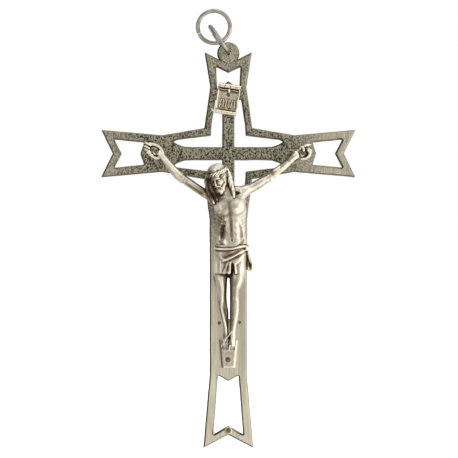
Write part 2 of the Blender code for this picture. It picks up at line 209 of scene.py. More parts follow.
def loft(table, ends):
    """A body through level ellipses: z, centre x, half width, centre proud, half depth.

    The rims are rounded by ends."""
    levels, middles, widths, prouds, depths = np.array(spline(sorted(paths(table)[0]), 6)).T
    base = (levels.min() + levels.max()) / 2

    def field(points):
        z = points[:, 2]
        half_width, half_depth = np.interp(z, levels, widths), np.interp(z, levels, depths)
        x = (points[:, 0] - np.interp(z, levels, middles)) / half_width
        y = (points[:, 1] - (FRONT - np.interp(z, levels, prouds))) / half_depth
        scaled = np.hypot(x, y)
        slope = np.hypot(x / half_width, y / half_depth)
        distance = 0.95 * scaled * (scaled - 1.0) / np.maximum(slope, 1e-5)
        beyond = np.maximum(levels.min() - z, z - levels.max())
        return smooth_max(distance, beyond, ends).astype(FLOAT)
    reach = math.hypot(levels.max() - base, max(widths.max() + abs(middles).max(), depths.max()))
    return field, vec((middles.mean(), FRONT - prouds.mean(), base)), reach


def polyline_field(points):
    """Distance in x-z to a smooth line of (x, z, width, amount), and what it carries there."""
    curve = spline(points, 4)

    def field(x, z):
        nearest = np.full(len(x), 1e9)
        width = np.ones(len(x))
        amount = np.zeros(len(x))
        for a, b in zip(curve, curve[1:]):
            dx, dz = b[0] - a[0], b[1] - a[1]
            t = np.clip(((x - a[0]) * dx + (z - a[1]) * dz) / (dx * dx + dz * dz + 1e-9), 0, 1)
            distance = np.hypot(x - a[0] - t * dx, z - a[1] - t * dz)
            near = distance < nearest
            nearest = np.where(near, distance, nearest)
            width = np.where(near, a[2] + (b[2] - a[2]) * t, width)
            amount = np.where(near, a[3] + (b[3] - a[3]) * t, amount)
        return nearest, width, amount
    return field, curve


class Shape:
    """Operations on a distance field, in order.  Its tables are in x, y, z."""
    place = staticmethod(lambda *point: point)

    def __init__(self):
        self.steps = []

    def add(self, primitive, blend):
        self.steps.append(("add", primitive, blend))

    def cut(self, primitive, blend):
        self.steps.append(("cut", primitive, blend))

    def push(self, height, centre, reach):
        """Raise the surface by height(points) inside a sphere."""
        self.steps.append(("push", (height, vec(centre), reach), 0.0))

    def balls(self, text, side=1, cut=False):
        """Ellipsoids, each path being: blend, centre, radii and perhaps a roll."""
        for (blend,), (x, *rest), radii, *roll in paths(text):
            axes = rot(roll=roll[0][0]) if roll else None
            ball = ellipsoid(self.place(side * x, *rest), radii, axes)
            (self.cut if cut else self.add)(ball, blend)

    def tubes(self, text, side=1, cut=False):
        """Ropes, each path being: blend and curve steps, then centre and radius per point."""
        for (blend, steps), *points in paths(text):
            tube = rope([self.place(side * x, *rest) for x, *rest in points], int(steps))
            (self.cut if cut else self.add)(tube, blend)

    def value(self, points):
        centre, radius = sphere_round(points)
        distance = np.full(len(points), 4.0, dtype=FLOAT)
        for kind, (field, middle, reach), blend in self.steps:
            gap = float(np.linalg.norm(middle - centre))
            if gap > reach + radius + max(blend, 0.05) + 0.9:
                continue
            if kind == "add":
                distance = smooth_min(distance, field(points), blend)
            elif kind == "cut":
                distance = smooth_max(distance, -field(points), blend)
            else:
                distance = distance - field(points)
        return distance.astype(FLOAT)


def front_fade(points):
    return np.clip((FRONT - 1.6 - points[:, 1]) / 1.2, 0, 1)


class Relief(Shape):
    """A shape in front of the plate.  Its tables are in x, z and distance proud of the plate."""
    place = staticmethod(at)

    def hill(self, x, z, along_size, across_size, turn, height, depth=5.0):
        """A soft rise (or a hollow) on the front, depth being where it sits off the plate."""
        cos, sin = math.cos(math.radians(turn)), math.sin(math.radians(turn))

        def rise(points):
            dx, dz = points[:, 0] - x, points[:, 2] - z
            return height * front_fade(points) * np.exp(
                -((dx * cos + dz * sin) / along_size) ** 2
                - ((dz * cos - dx * sin) / across_size) ** 2)
        self.push(rise, at(x, z, depth), 2.1 * max(along_size, across_size) + 1.6)

    def line(self, points, depth=5.0):
        """A soft ridge (or a furrow) on the front along (x, z, width, height) points."""
        field, curve = polyline_field(points)
        curve = np.array(curve)
        centre = (curve[:, :2].min(0) + curve[:, :2].max(0)) / 2
        reach = (float(np.hypot(*(curve[:, :2].max(0) - centre)))
                 + 2.1 * curve[:, 2].max() + 1.6)

        def rise(points):
            distance, width, height = field(points[:, 0], points[:, 2])
            return height * front_fade(points) * np.exp(-(distance / width) ** 2)
        self.push(rise, at(*centre, depth), reach)

    def mould(self, text, depth=5.0):
        """Hills and lines: a lone point of six numbers is a hill, a longer path is a line."""
        for path in paths(text):
            if len(path) == 1:
                self.hill(*path[0], depth)
            else:
                self.line(path, depth)


# ============================================================================
# meshing of the fields
# ============================================================================
BLOCK = 18               # grid points along the side of a block
CORNERS = list(itertools.product((0, 1), repeat=3))


def fill_grid(shape, low, counts, step):
    """Sample a shape on a grid, passing over the blocks far from its surface."""
    grid = np.full(counts, 4.0, dtype=FLOAT)
    half = BLOCK * step * 0.5 * math.sqrt(3.0)
    ticks = np.arange(BLOCK, dtype=FLOAT) * step
    local = np.stack(np.meshgrid(ticks, ticks, ticks, indexing="ij"), -1).reshape(-1, 3)
    for start in itertools.product(*(range(0, count, BLOCK) for count in counts)):
        block = tuple(slice(i, i + BLOCK) for i in start)
        base = (low + np.array(start) * step).astype(FLOAT)
        centre = (base + (BLOCK - 1) * step / 2)[None, :]
        probe = np.concatenate([centre, centre + FLOAT(half * 0.05)])
        distance = float(shape.value(probe.astype(FLOAT))[0])
        if distance > half + 0.8:
            continue
        if distance < -half - 0.8:
            grid[block] = -4.0
        else:
            grid[block] = shape.value(local + base).reshape(BLOCK, BLOCK, BLOCK)
    return grid


def surface_net(grid):
    """Points, in grid steps, and quads of the surface where the grid changes sign."""
    inside = grid < 0
    size = np.array(grid.shape) - 1
    count = np.zeros(size, dtype=np.int8)
    for corner in CORNERS:
        count += inside[tuple(slice(c, c + n) for c, n in zip(corner, size))]
    mask = (count > 0) & (count < 8)
    cells = np.argwhere(mask)
    index = np.full(mask.shape, -1, dtype=np.int32)
    index[mask] = np.arange(len(cells), dtype=np.int32)
    total = np.zeros((len(cells), 3))
    hits = np.zeros(len(cells))
    values = {corner: grid[tuple((cells + corner).T)] for corner in CORNERS}
    for corner in CORNERS:
        for axis in range(3):
            if corner[axis]:
                continue
            other = list(corner)
            other[axis] = 1
            near, far = values[corner], values[tuple(other)]
            cross = (near < 0) != (far < 0)
            t = np.where(cross, near / np.where(cross, near - far, 1.0), 0.0)
            point = np.array(corner, float)[None, :].repeat(len(cells), 0)
            point[:, axis] += t
            total += point * cross[:, None]
            hits += cross
    quads = []
    for axis in range(3):
        across, up = (axis + 1) % 3, (axis + 2) % 3
        lower, upper = [slice(None)] * 3, [slice(None)] * 3
        lower[axis], upper[axis] = slice(0, -1), slice(1, None)
        first, second = inside[tuple(lower)], inside[tuple(upper)]
        edges = np.argwhere(first != second)
        edges = edges[(edges[:, across] > 0) & (edges[:, up] > 0)]
        outward = first[tuple(edges.T)]
        ids = []
        for back_across, back_up in ((1, 1), (0, 1), (0, 0), (1, 0)):
            cell = edges.copy()
            cell[:, across] -= back_across
            cell[:, up] -= back_up
            ids.append(index[tuple(cell.T)])
        quad = np.stack(ids, 1)
        quad[~outward] = quad[~outward][:, ::-1]
        quads.append(quad)
    return cells + total / hits[:, None], np.concatenate(quads)


def sculpt(shape, low, high, step):
    """Mesh a shape: points, quads, recess, groove and ridge measures."""
    low = np.array(low, float) - 2 * step
    blocks = np.ceil((np.array(high) + 2 * step - low) / step).astype(int) // BLOCK + 1
    grid = fill_grid(shape, low, blocks * BLOCK, step)
    cells, quads = surface_net(grid)
    points = low + step * cells

    def sample(places):
        spot = np.clip((places - low) / step, 0, np.array(grid.shape) - 1.001)
        whole = spot.astype(int)
        part = spot - whole
        value = 0.0
        for corner in CORNERS:
            weight = np.prod(np.where(np.array(corner) == 1, part, 1 - part), axis=1)
            value = value + weight * grid[tuple((whole + corner).T)]
        return value

    def gradient(places):
        slope = np.stack([sample(places + shift) - sample(places - shift)
                          for shift in np.eye(3) * step * 0.8], 1)
        return slope / np.maximum(np.linalg.norm(slope, axis=1, keepdims=True), 1e-6)

    normals = gradient(points)
    # one move back onto the surface, kept within half a cell
    points = points - normals * np.clip(sample(points), -0.4 * step, 0.4 * step)[:, None]
    normals = gradient(points)
    recess = np.zeros(len(points))
    total = 0.0
    for reach, weight in ((0.18, 0.9), (0.36, 1.0), (0.7, 1.0), (1.3, 0.8), (2.2, 0.6)):
        recess += weight * np.clip(1.0 - sample(points + normals * reach) / reach, 0.0, 1.0)
        total += weight
    recess /= total
    groove = np.clip(1.0 - sample(points + normals * 0.16) / 0.16, 0.0, 1.0)
    # mean curvature at two scales, positive on ridges
    ridge = np.zeros(len(points))
    rays = [sign * axis for axis in np.eye(3) for sign in (1, -1)]
    rays += [np.array(ray, float) / math.sqrt(3.0)
             for ray in itertools.product((-1, 1), repeat=3)]
    for reach, weight in ((0.42, 0.5), (0.80, 0.5)):
        ridge += (weight * sum(sample(points + reach * ray) for ray in rays)
                  / (len(rays) * reach))
    return points, quads, recess, groove, ridge


def sculpt_object(name, shape, low, high, step, tarnish_and_painted_light):
    points, quads, recess, groove, ridge = sculpt(shape, low, high, step)
    mesh = bpy.data.meshes.new(name)
    mesh.vertices.add(len(points))
    mesh.vertices.foreach_set("co", (points * METRES).astype(FLOAT).ravel())
    mesh.loops.add(quads.size)
    mesh.polygons.add(len(quads))
    mesh.loops.foreach_set("vertex_index", quads.astype(np.int32).ravel())
    mesh.polygons.foreach_set("loop_start", np.arange(0, quads.size, 4, dtype=np.int32))
    mesh.update(calc_edges=True)
    mesh.validate()
    # the last layer holds tarnish together with painted shade and painted highlights
    for key, data in (("recess", recess), ("groove", groove), ("ridge", ridge),
                      ("dull_and_painted_light", tarnish_and_painted_light(points))):
        layer = mesh.attributes.new(key, "FLOAT", "POINT")
        layer.data.foreach_set("value", np.asarray(data, dtype=FLOAT))
    mesh.shade_smooth()
    return link_object(name, mesh)


# ============================================================================
# head
# ============================================================================
def add_beard(head):
    """A short full beard with combed waves, and a moustache."""
    beard = Shape()
    beard.balls("0.2, 0 -1.55 -3.05, 1.3 1.1 1.35")
    for side in (-1, 1):
        beard.tubes("""0.35 4, 1.78 -0.35 -0.55 0.42, 1.72 -0.85 -1.65 0.55,
            1.15 -1.55 -2.75 0.72, 0.42 -1.75 -3.8 0.62, 0.3 -1.6 -4.45 0.3;
            0.12 3, 0.06 -2.86 -1.48 0.13, 0.48 -2.72 -1.6 0.17, 0.92 -2.25 -2.1 0.2,
            1.05 -1.95 -2.6 0.2""", side)

    def combed(points):
        x, y, z = points.T
        round_chin = np.arctan2(x, -y + 0.2) * 2.6
        waves = 0.065 * np.sin(round_chin * 4.6 + 1.1 * np.sin(2.3 * z + 0.7 * x))
        parting = 0.16 * np.exp(-(x / 0.16) ** 2) * np.clip((-3.3 - z), 0, 1)
        return (waves - parting) * np.clip((-1.35 - z) * 1.5 + 0.3, 0, 1)
    beard.push(combed, (0, -1.5, -3.0), 3.4)
    head.add((beard.value, vec((0, -1.3, -2.6)), 3.3), 0.10)


def add_hair(head):
    """A parted cap, heavier at the sides and back."""
    hair = Shape()
    hair.balls("""0.2, 0 0.75 1.15, 2.74 2.95 2.66; 0.7, -1.95 0.35 -0.5, 0.98 1.7 2.7;
        0.7, 1.95 0.35 -0.5, 0.98 1.7 2.7; 0.7, 0 1.6 -1.2, 2.4 1.7 3""")
    hair.balls("0.35, 0 -2.75 -0.55, 1.66 1.95 2.25", cut=True)

    def strands(points):
        x, y, z = points.T
        side = np.abs(x)
        over = y * 1.0 + 0.30 * np.sin(1.7 * z + 0.9 * side) - 0.35 * z
        top = 0.5 + 0.5 * np.tanh((z - 0.2) * 1.6)
        down = side * 1.25 + 0.22 * np.sin(2.1 * z + 1.3 * y)
        wave = (np.sin(over * 10.5 + 0.8 * np.sin(3.1 * z)) * top
                + np.sin(down * 11.5 + 2.0 * y) * (1 - top))
        parting = np.exp(-(x / 0.18) ** 2) * np.clip((z - 1.0) * 0.8, 0, 1)
        return 0.085 * wave - 0.14 * parting
    hair.push(strands, (0, 0.5, 0.5), 6.0)
    head.add((hair.value, vec((0, 0.6, 0.4)), 4.6), 0.08)


def crown_centre(angle):
    x = 2.80 * math.sin(angle)
    return x, 0.62 - 3.20 * math.cos(angle), 1.50 + 0.20 * math.cos(angle) + 0.13 * x


def add_crown(head):
    """Three strands wound round one another, with short spines."""
    for strand in range(3):
        points = []
        for i in range(61):
            angle = 2 * math.pi * i / 60
            twist = 6 * angle + strand * 2 * math.pi / 3
            x, y, z = crown_centre(angle)
            out = 0.25 * math.cos(twist)
            points.append((x + out * math.sin(angle), y - out * math.cos(angle),
                           z + 0.36 * math.sin(twist), 0.245))
        for i in range(0, 60, 5):
            head.add(rope(points[i:i + 6], 1), 0.05)
    for i in range(15):
        angle = 2 * math.pi * (i + 0.35) / 15
        x, y, z = crown_centre(angle)
        rise = 0.50 if i % 2 else -0.34
        tilt = 0.35 * math.sin(2.4 * i)
        tip = (x + 0.42 * math.sin(angle + tilt), y - 0.42 * math.cos(angle + tilt),
               z + rise * 1.55)
        head.add(cone((x, y, z + rise * 0.4), tip, 0.14, 0.05), 0.08)


def build_head():
    """Head in its own axes: +X to its left, -Y forward, origin in its middle at eye level."""
    head = Shape()
    # skull, face and chin
    head.balls("""0.3, 0 0.35 0.95, 2.25 2.7 2.7; 0.6, 0 -0.6 -0.9, 1.92 2 2.5;
        0.5, 0 -1.4 -2.55, 1.05 1.05 1""")
    for side in (-1, 1):
        # cheekbone, eye socket, lowered lid with its slit, brow
        head.balls("0.55, 1.2 -1.7 -0.8, 0.75 0.62 0.58", side)
        head.balls("0.4, 0.86 -2.86 -0.02, 0.58 0.5 0.34", side, cut=True)
        head.balls("0.1, 0.86 -2.14 -0.06, 0.46 0.42 0.27", side)
        head.tubes("""0.1 3, 0.46 -2.56 -0.15 0.03, 0.86 -2.66 -0.26 0.04,
            1.26 -2.4 -0.15 0.03""", side, cut=True)
        head.tubes("0.25 3, 0.3 -2.55 0.36 0.12, 0.85 -2.6 0.5 0.13, 1.48 -2.12 0.34 0.1", side)
    # forehead, nose, lips
    head.balls("0.5, 0 -2.25 1.25, 1.4 0.55 0.9")
    head.add(cone((0, -2.50, 0.35), (0, -3.12, -0.95), 0.16, 0.22), 0.30)
    head.balls("""0.16, 0 -2.92 -1.08, 0.38 0.34 0.22; 0.16, 0 -2.55 -1.74, 0.55 0.3 0.13;
        0.16, 0 -2.55 -2.02, 0.45 0.32 0.14""")
    head.tubes("0.08 3, -0.5 -2.68 -1.88 0.02, 0 -2.92 -1.87 0.03, 0.5 -2.68 -1.88 0.02",
               cut=True)
    add_beard(head)
    add_hair(head)
    add_crown(head)
    return head


# Long locks over both shoulders: strands, turns, path of x, z, proud, radius
LOCKS = (
    (4, 1.6, """-0.3 -4.7 5.9 0.42, 0.25 -6.3 6.3 0.62, 0.62 -8 6.4 0.66, 1.05 -9.8 6.2 0.58,
        1.45 -11.2 6.05 0.44, 1.62 -12.4 6.1 0.22"""),
    (3, 1.2, "0.1 -6.2 5.2 0.4, 0.85 -8.3 5.2 0.48, 1.4 -10.2 5.3 0.42, 1.95 -11.4 5.5 0.24"),
    (4, 1.8, """-5.5 -5.4 4.9 0.5, -5.85 -7.3 5 0.66, -5.65 -9.2 5.3 0.72, -5.1 -11 5.6 0.66,
        -4.45 -12.6 5.9 0.5, -3.95 -14 6 0.24"""),
    (4, 1.5, """-4.85 -7.6 6.2 0.42, -4.75 -9.2 6.4 0.52, -4.25 -10.7 6.5 0.5,
        -3.55 -12 6.5 0.38, -3.05 -13.1 6.45 0.2"""),
    (3, 1.2, "-5.6 -7.6 4 0.5, -5.75 -9.8 4.3 0.6, -5.35 -11.8 4.7 0.5, -4.95 -13.2 5 0.28"),
)


def add_lock(shape, path, strands, turns, phase):
    """A lock of hair: strands wound loosely along a path of (x, y, z, radius)."""
    stations = spline(path, 5)
    last = len(stations) - 1
    for j in range(strands):
        strand = []
        for i, station in enumerate(stations):
            t = i / last
            after, before = stations[min(i + 1, last)], stations[max(i - 1, 0)]
            axes = aim(after[:3] - before[:3], (0.15, 1.0, 0.1))
            angle = (phase + 2 * math.pi * (j / strands + turns * t)
                     + 0.5 * math.sin(5.0 * t + phase))
            offset = station[3] * 0.60 * (math.cos(angle) * axes[:, 0]
                                          + math.sin(angle) * axes[:, 1] * 0.8)
            strand.append((*(station[:3] + offset), station[3] * 0.62 * (1.0 - 0.25 * t)))
        for i in range(0, last, 5):
            shape.add(rope(strand[i:i + 6], 1), 0.05)


# ============================================================================
# figure; left and right are the viewer's
# ============================================================================
# Curled fingers of the left hand: knuckle x, z, tip x, z, radius
FINGERS = paths("""-23.05 2.95 -21.45 2.1 0.31, -23.25 2.12 -21.35 1.05 0.31,
    -23.1 1.22 -21.3 0.25 0.3, -22.65 0.38 -20.95 -0.45 0.27""")[0]
# Stations round a curled finger: share of the way to the tip, proud, share of the radius
CURL = ((0.95, 0.75, 1), (0.25, 0.85, 1), (0, 1.15, 1.02), (0.2, 1.6, 1), (0.62, 1.72, 0.92),
        (1, 1.42, 0.75))


def add_hands(body):
    """Both hands lie on their backs, the fingers drawn in round the nails."""
    # left: four fingers curl in from the outer edge, thumb side uppermost
    body.balls("0.3, -20.55 0.62 0.75, 1.95 0.7 1.65, 25")
    body.tubes("""0.14 4, -21.9 2.72 1.3 0.34, -20.7 2.42 1.45 0.38, -19.4 1.92 1.45 0.4,
        -18.6 1.05 1.5 0.42, -18.05 -0.05 1.5 0.44;
        0.2 4, -22.3 0.15 1.15 0.34, -21.2 -0.72 1.25 0.38, -20 -1.32 1.35 0.42,
        -18.9 -1.1 1.45 0.5""")
    for x, z, tip_x, tip_z, radius in FINGERS:
        dx, dz = tip_x - x, tip_z - z
        body.add(rope([at(x + share * dx, z + share * dz, proud, radius * size)
                       for share, proud, size in CURL], 3), 0.05)
    body.balls("0.22, -20.65 1 1.75, 0.9 0.62 0.95, 25", cut=True)
    # right: one finger straight, one over the palm, the rest in a full curl
    body.balls("""0.3, 20.35 0.05 0.75, 2 0.7 1.55, -20;
        0.25, 18.95 -0.3 1.15, 0.85 0.75 1.15, -35""")
    body.tubes("""0.08 4, 19.9 1.15 1.15 0.34, 21.1 1.98 1.4 0.34, 22 2.3 1.35 0.31,
        22.75 2.42 1.05 0.26;
        0.06 4, 20.1 1.75 1.25 0.34, 20.75 1.45 1.75 0.36, 20.9 0.8 1.9 0.33,
        20.78 0.25 1.7 0.26;
        0.06 4, 21.2 1.25 0.95 0.32, 22.1 1.35 1.1 0.31, 22.85 0.85 1.15 0.3, 23 0.15 1.05 0.28;
        0.06 4, 21.6 0.75 1.1 0.34, 22.15 0.7 1.55 0.4, 22.62 0.08 1.75 0.42,
        22.25 -0.9 1.7 0.42, 21.4 -1.45 1.5 0.38, 20.4 -1.55 1.2 0.36""")
    body.tubes("0.16 3, 20.05 1.05 2.05 0.22, 19.95 0.4 2.1 0.26, 20.15 -0.4 2.05 0.22",
               cut=True)
    body.balls("0.2, 21.35 -0.25 1.85, 0.55 0.66 0.62", cut=True)


def add_trunk(body):
    body.add(loft("""-10.2 0.2 2.6 4 1.3, -11.6 0.15 4.2 4.1 1.65, -13.2 0.4 4.75 4.2 1.95,
        -15 0.5 4.62 4.25 2.3, -17.2 0.62 4.22 4.2 2.42, -19.8 0.88 3.9 4.05 2.18,
        -22.4 0.86 3.8 3.95 2.02, -24.8 0.88 4.12 3.9 2.12, -27.6 0.85 4.5 3.9 2.25,
        -30 0.6 4.4 3.9 2.1""", 0.6), 0.3)
    # shoulder girdle running up into the neck
    body.add(cone(at(-0.6, -10.6, 4.5), at(-4.2, -12.3, 4.2), 1.5, 1.35), 0.8)
    body.add(cone(at(0.2, -10.4, 4.5), at(4.3, -10.7, 4.2), 1.5, 1.40), 0.8)
    # chest, drawn up towards the arms
    body.mould("""-2 -15.1 2.2 1.6 -22 0.34; 2.65 -14.5 2.2 1.6 20 0.36;
        -2.4 -16.45 0.3 0.28 0 0.17; 2.05 -15.6 0.32 0.3 0 0.19;
        -4.1 -15 0.55 -0.04, -3.2 -16.9 0.6 -0.16, -1.4 -17.5 0.6 -0.17, 0.1 -16.8 0.5 -0.08;
        5 -14.4 0.55 -0.03, 4.1 -16.2 0.6 -0.12, 2.2 -16.9 0.6 -0.14, 0.8 -16.4 0.5 -0.08;
        0.05 -13.2 0.6 -0.05, 0.28 -15.2 0.72 -0.17, 0.5 -17.4 0.78 -0.22,
        0.78 -19.8 0.7 -0.2, 0.98 -22.2 0.62 -0.15, 1 -24.6 0.5 -0.06""")
    # collar bones
    body.mould("""0.4 -12.3 0.3 0.1, -1.4 -12.15 0.32 0.26, -3.6 -12.5 0.35 0.12;
        0.5 -12.2 0.3 0.1, 2.2 -11.75 0.32 0.26, 4.2 -11.4 0.35 0.12""")
    # rib arch and the hollows inside it
    body.mould("""0.3 -17.7 0.4 0.04, -1.3 -18.5 0.5 0.18, -2.3 -20.1 0.5 0.18,
        -2.8 -21.6 0.45 0.08;
        0.8 -17.6 0.4 0.03, 2.7 -18.3 0.55 0.12, 3.7 -20 0.55 0.13, 4.2 -21.4 0.45 0.08;
        -0.7 -19.2 0.4 -0.12, -1.45 -20.6 0.5 -0.3, -1.75 -22.4 0.5 -0.3, -1.9 -24.2 0.45 -0.12;
        2.7 -19.4 0.4 -0.08, 3.45 -21 0.46 -0.13, 3.6 -22.8 0.46 -0.15, 3.5 -24.4 0.42 -0.08""")
    for i in range(5):   # ribs, with furrows under the left ones
        z = -17.1 - 0.98 * i
        body.line([(-1.3 - 0.12 * i, z - 0.75, 0.28, 0.02), (-2.3 - 0.05 * i, z - 0.25, 0.32, 0.08),
                   (-3.3 + 0.12 * i, z + 0.50, 0.32, 0.06)])
        body.line([(-1.4 - 0.12 * i, z - 1.25, 0.22, -0.02),
                   (-2.4 - 0.05 * i, z - 0.74, 0.24, -0.05),
                   (-3.3 + 0.12 * i, z + 0.02, 0.26, -0.02)])
        if i < 4:
            body.line([(3.0 + 0.10 * i, z - 0.35, 0.26, 0.02),
                       (3.9 + 0.02 * i, z + 0.10, 0.30, 0.09), (4.7 - 0.1 * i, z + 0.75, 0.30, 0.04)])
    # belly, in three tiers either side of the centre line
    for i, z in enumerate((-19.5, -21.2, -22.9)):
        body.hill(-0.35 - 0.03 * i, z - 0.1, 0.72, 0.78, 4, 0.14)
        body.hill(2.25 + 0.05 * i, z, 0.80, 0.80, -4, 0.22)
    # lower belly, navel, groins and flanks
    body.mould("""0.9 -25 2.3 1.15 0 0.22; 1.02 -24.1 0.26 0.36 0 -0.26;
        -3 -23 0.4 -0.02, -2.3 -24.5 0.42 -0.22, -0.9 -25.9 0.4 -0.1;
        4.5 -22.8 0.4 -0.02, 4 -24.4 0.42 -0.2, 2.7 -25.7 0.4 -0.1;
        -2.9 -23.9 0.8 1.2 0 0.25; 4.55 -23.6 0.7 1.2 0 0.22""")
    # lance wound: a slit with a raised lip and a few drops
    body.mould("""-2 -18.45 0.26 0.06, -1.25 -18.9 0.3 0.2, -0.5 -19 0.26 0.06;
        -1.8 -18.6 0.11 -0.08, -1.25 -18.92 0.14 -0.34, -0.7 -18.98 0.11 -0.08""")
    for x, z, size in paths("""-1.75 -19.5 0.17, -1.28 -19.75 0.2, -1.5 -20.4 0.16,
            -0.95 -19.6 0.15, -1.15 -20.9 0.15, -0.85 -18.35 0.15, -1.6 -17.95 0.16,
            -1.7 -21.4 0.16""")[0]:
        body.hill(x, z, size, size * 1.25, 0, 0.26)


def add_arms(body):
    # left: upper arm, forearm, biceps, elbow
    body.tubes("""0.8 5, -3.1 -12.6 4.3 1.45, -4.8 -12 4.2 1.38, -6.7 -11 3.9 1.22,
        -8.9 -9.6 3.45 1.18, -10.6 -8.42 3.1 1.2, -12.3 -7.25 2.8 1.18;
        0.25 5, -12.7 -6.95 2.85 1.2, -13.9 -6.05 2.75 1.26, -15.9 -3.85 2.2 1.14,
        -17.9 -1.35 1.65 0.98, -19 0.05 1.25 0.92""")
    body.balls("""0.5, -9.1 -9.2 3.85, 2.3 0.7 0.62, 33;
        0.4, -13.3 -7.55 2.75, 0.75 0.7 0.62, 40""")
    body.mould("-5.8 -12 0.3 -0.04, -8.4 -10.45 0.4 -0.1, -11.6 -8.45 0.3 -0.06", 4.5)
    body.mould("-11.5 -6.35 0.22 -0.06, -12.1 -7.1 0.26 -0.12, -12.7 -8.2 0.26 -0.06", 3.9)
    body.mould("-13.9 -6.7 0.28 -0.04, -16 -4.35 0.3 -0.1, -18 -1.8 0.24 -0.04", 3.2)
    # right, the same pieces
    body.tubes("""0.8 5, 3.4 -11.7 4.3 1.45, 4.8 -10.35 4.35 1.46, 6.3 -9.75 3.95 1.22,
        7.6 -9 3.65 1.12, 9.4 -7.85 3.25 1.08, 11.3 -6.85 2.9 1;
        0.25 5, 11.5 -6.65 2.9 1.02, 12.8 -5.55 2.75 1.1, 14.6 -4.12 2.35 1.06,
        16.3 -2.8 1.9 0.92, 17.8 -1.4 1.5 0.9, 18.9 -0.6 1.25 0.9""")
    body.balls("""1.2, 8 -8.75 3.75, 2 0.6 0.85, -33;
        0.4, 11.75 -7.25 2.85, 0.7 0.62 0.55, -38""")
    body.mould("5.9 -10.8 0.28 -0.04, 8 -9.5 0.36 -0.05, 10.4 -8 0.28 -0.04", 4.5)
    body.mould("11.2 -5.6 0.22 -0.06, 11.4 -6.5 0.22 -0.1, 11.5 -7.7 0.22 -0.08", 3.9)
    body.mould("12.8 -6.1 0.26 -0.04, 15.4 -4 0.34 -0.05, 18 -1.9 0.24 -0.04", 3.2)
    # hollow above the collar, and the furrows in front of the arm pits
    body.mould("2.45 -11.15 0.85 0.72 30 -0.55", 5.5)
    body.mould("""-4.7 -13.4 0.4 -0.08, -4.1 -14.6 0.45 -0.26, -3.8 -16 0.4 -0.08;
        5.2 -12.7 0.4 -0.08, 4.9 -14 0.45 -0.26, 4.75 -15.4 0.4 -0.08""")


def add_legs(body):
    body.add(loft("""-29.5 -1.85 2.15 4 2.1, -34 -2.18 2.02 4.2 2, -37.3 -1.82 1.46 4.7 1.75,
        -39.2 -1.74 1.3 5.1 1.58, -40.6 -1.66 1.27 5.2 1.5, -42 -1.38 1.12 4.95 1.38,
        -43.6 -1.15 1.2 4.6 1.36, -45.4 -0.9 0.98 4.15 1.22, -48 -0.62 0.68 3.55 0.88,
        -50.4 -0.62 0.6 3.05 0.68, -52 -0.7 0.66 2.75 0.7""", 0.3), 0.25)
    body.add(loft("""-29.5 2.75 2.2 4.1 2.1, -34.2 2.5 2.2 4.35 2.05, -37.2 1.95 1.54 4.9 1.8,
        -39.1 1.84 1.42 5.3 1.62, -40.6 1.82 1.4 5.4 1.54, -42 1.84 1.4 5.2 1.44,
        -43.6 1.84 1.48 4.9 1.42, -45.9 1.65 1.24 4.4 1.28, -48.5 1.25 0.78 3.85 0.92,
        -50.6 1.22 0.66 3.45 0.72, -52.2 1.1 0.74 3.3 0.74""", 0.3), 0.12)
    # the joined tops of the thighs
    body.add(loft("""-28.5 0.7 2 3.5 1.7, -32.5 0.45 1.3 3.5 1.5, -34 0.15 0.6 3.6 1.2,
        -34.5 0.12 0.3 3.6 0.8""", 0.2), 0.25)
    for x, z, side in ((-1.70, -40.1, 1), (1.86, -39.9, -1)):
        # knee cap, the hollow under it and the furrow on its outer side
        body.hill(x, z, 0.75, 1.00, 0, 0.11, 6.5)
        body.hill(x, z - 1.35, 0.60, 0.50, 0, -0.05, 6.3)
        body.line([(x - 0.95 * side, z + 5.0, 0.45, -0.04), (x - 1.0 * side, z + 2.6, 0.50, -0.08),
                   (x - 0.85 * side, z + 0.2, 0.40, -0.04)], 6.0)
    # front edges of both legs
    body.mould("""-2.15 -34.2 0.55 0.08, -1.58 -37.5 0.45 0.2, -1.72 -40.8 0.36 0.2,
        -1.86 -42.6 0.32 0.24, -1.3 -45.3 0.3 0.28, -0.7 -48 0.28 0.24, -0.52 -50 0.24 0.1;
        3.25 -34.2 0.6 0.06, 2.5 -37.8 0.55 0.12, 2.5 -41.8 0.5 0.12, 2.35 -44 0.45 0.14,
        1.85 -46.8 0.4 0.16, 1.5 -49.6 0.3 0.08""", 6.0)
    # ankle bones
    body.balls("""0.4, -1.05 -50.3 2.95, 0.26 0.32 0.4; 0.4, -0.2 -50.1 3, 0.26 0.32 0.4;
        0.4, 0.82 -50.3 3.4, 0.26 0.32 0.4; 0.4, 1.68 -50.4 3.25, 0.26 0.32 0.4""")


def add_toes(body, toes, root, middle, prouds, drops, side, depth):
    """Five toes of (x, z, radius), big toe first, spread from a root near x = root.

    prouds are those of root, joint and tip; drops lower the first of them and the
    other two for each toe outwards; side is the one a toe's furrow lies on, 1 for -X."""
    for i, (x, z, radius) in enumerate(paths(toes)[0]):
        body.add(rope([
            at(root + (x - middle) * 0.62, z + 1.90, prouds[0] - drops[0] * i, radius * 1.05),
            at(x, z + 0.70, prouds[1] - drops[1] * i, radius),
            at(x, z, prouds[2] - drops[1] * i, radius)], 3), 0.05)
        if i:
            groove = x - side * radius - side * 0.03
            body.line([(x - side * radius * 0.9 - side * 0.02, z + 1.3, 0.10, -0.04),
                       (groove, z + 0.4, 0.10, -0.24), (groove, z - 0.3, 0.10, -0.20)], depth)


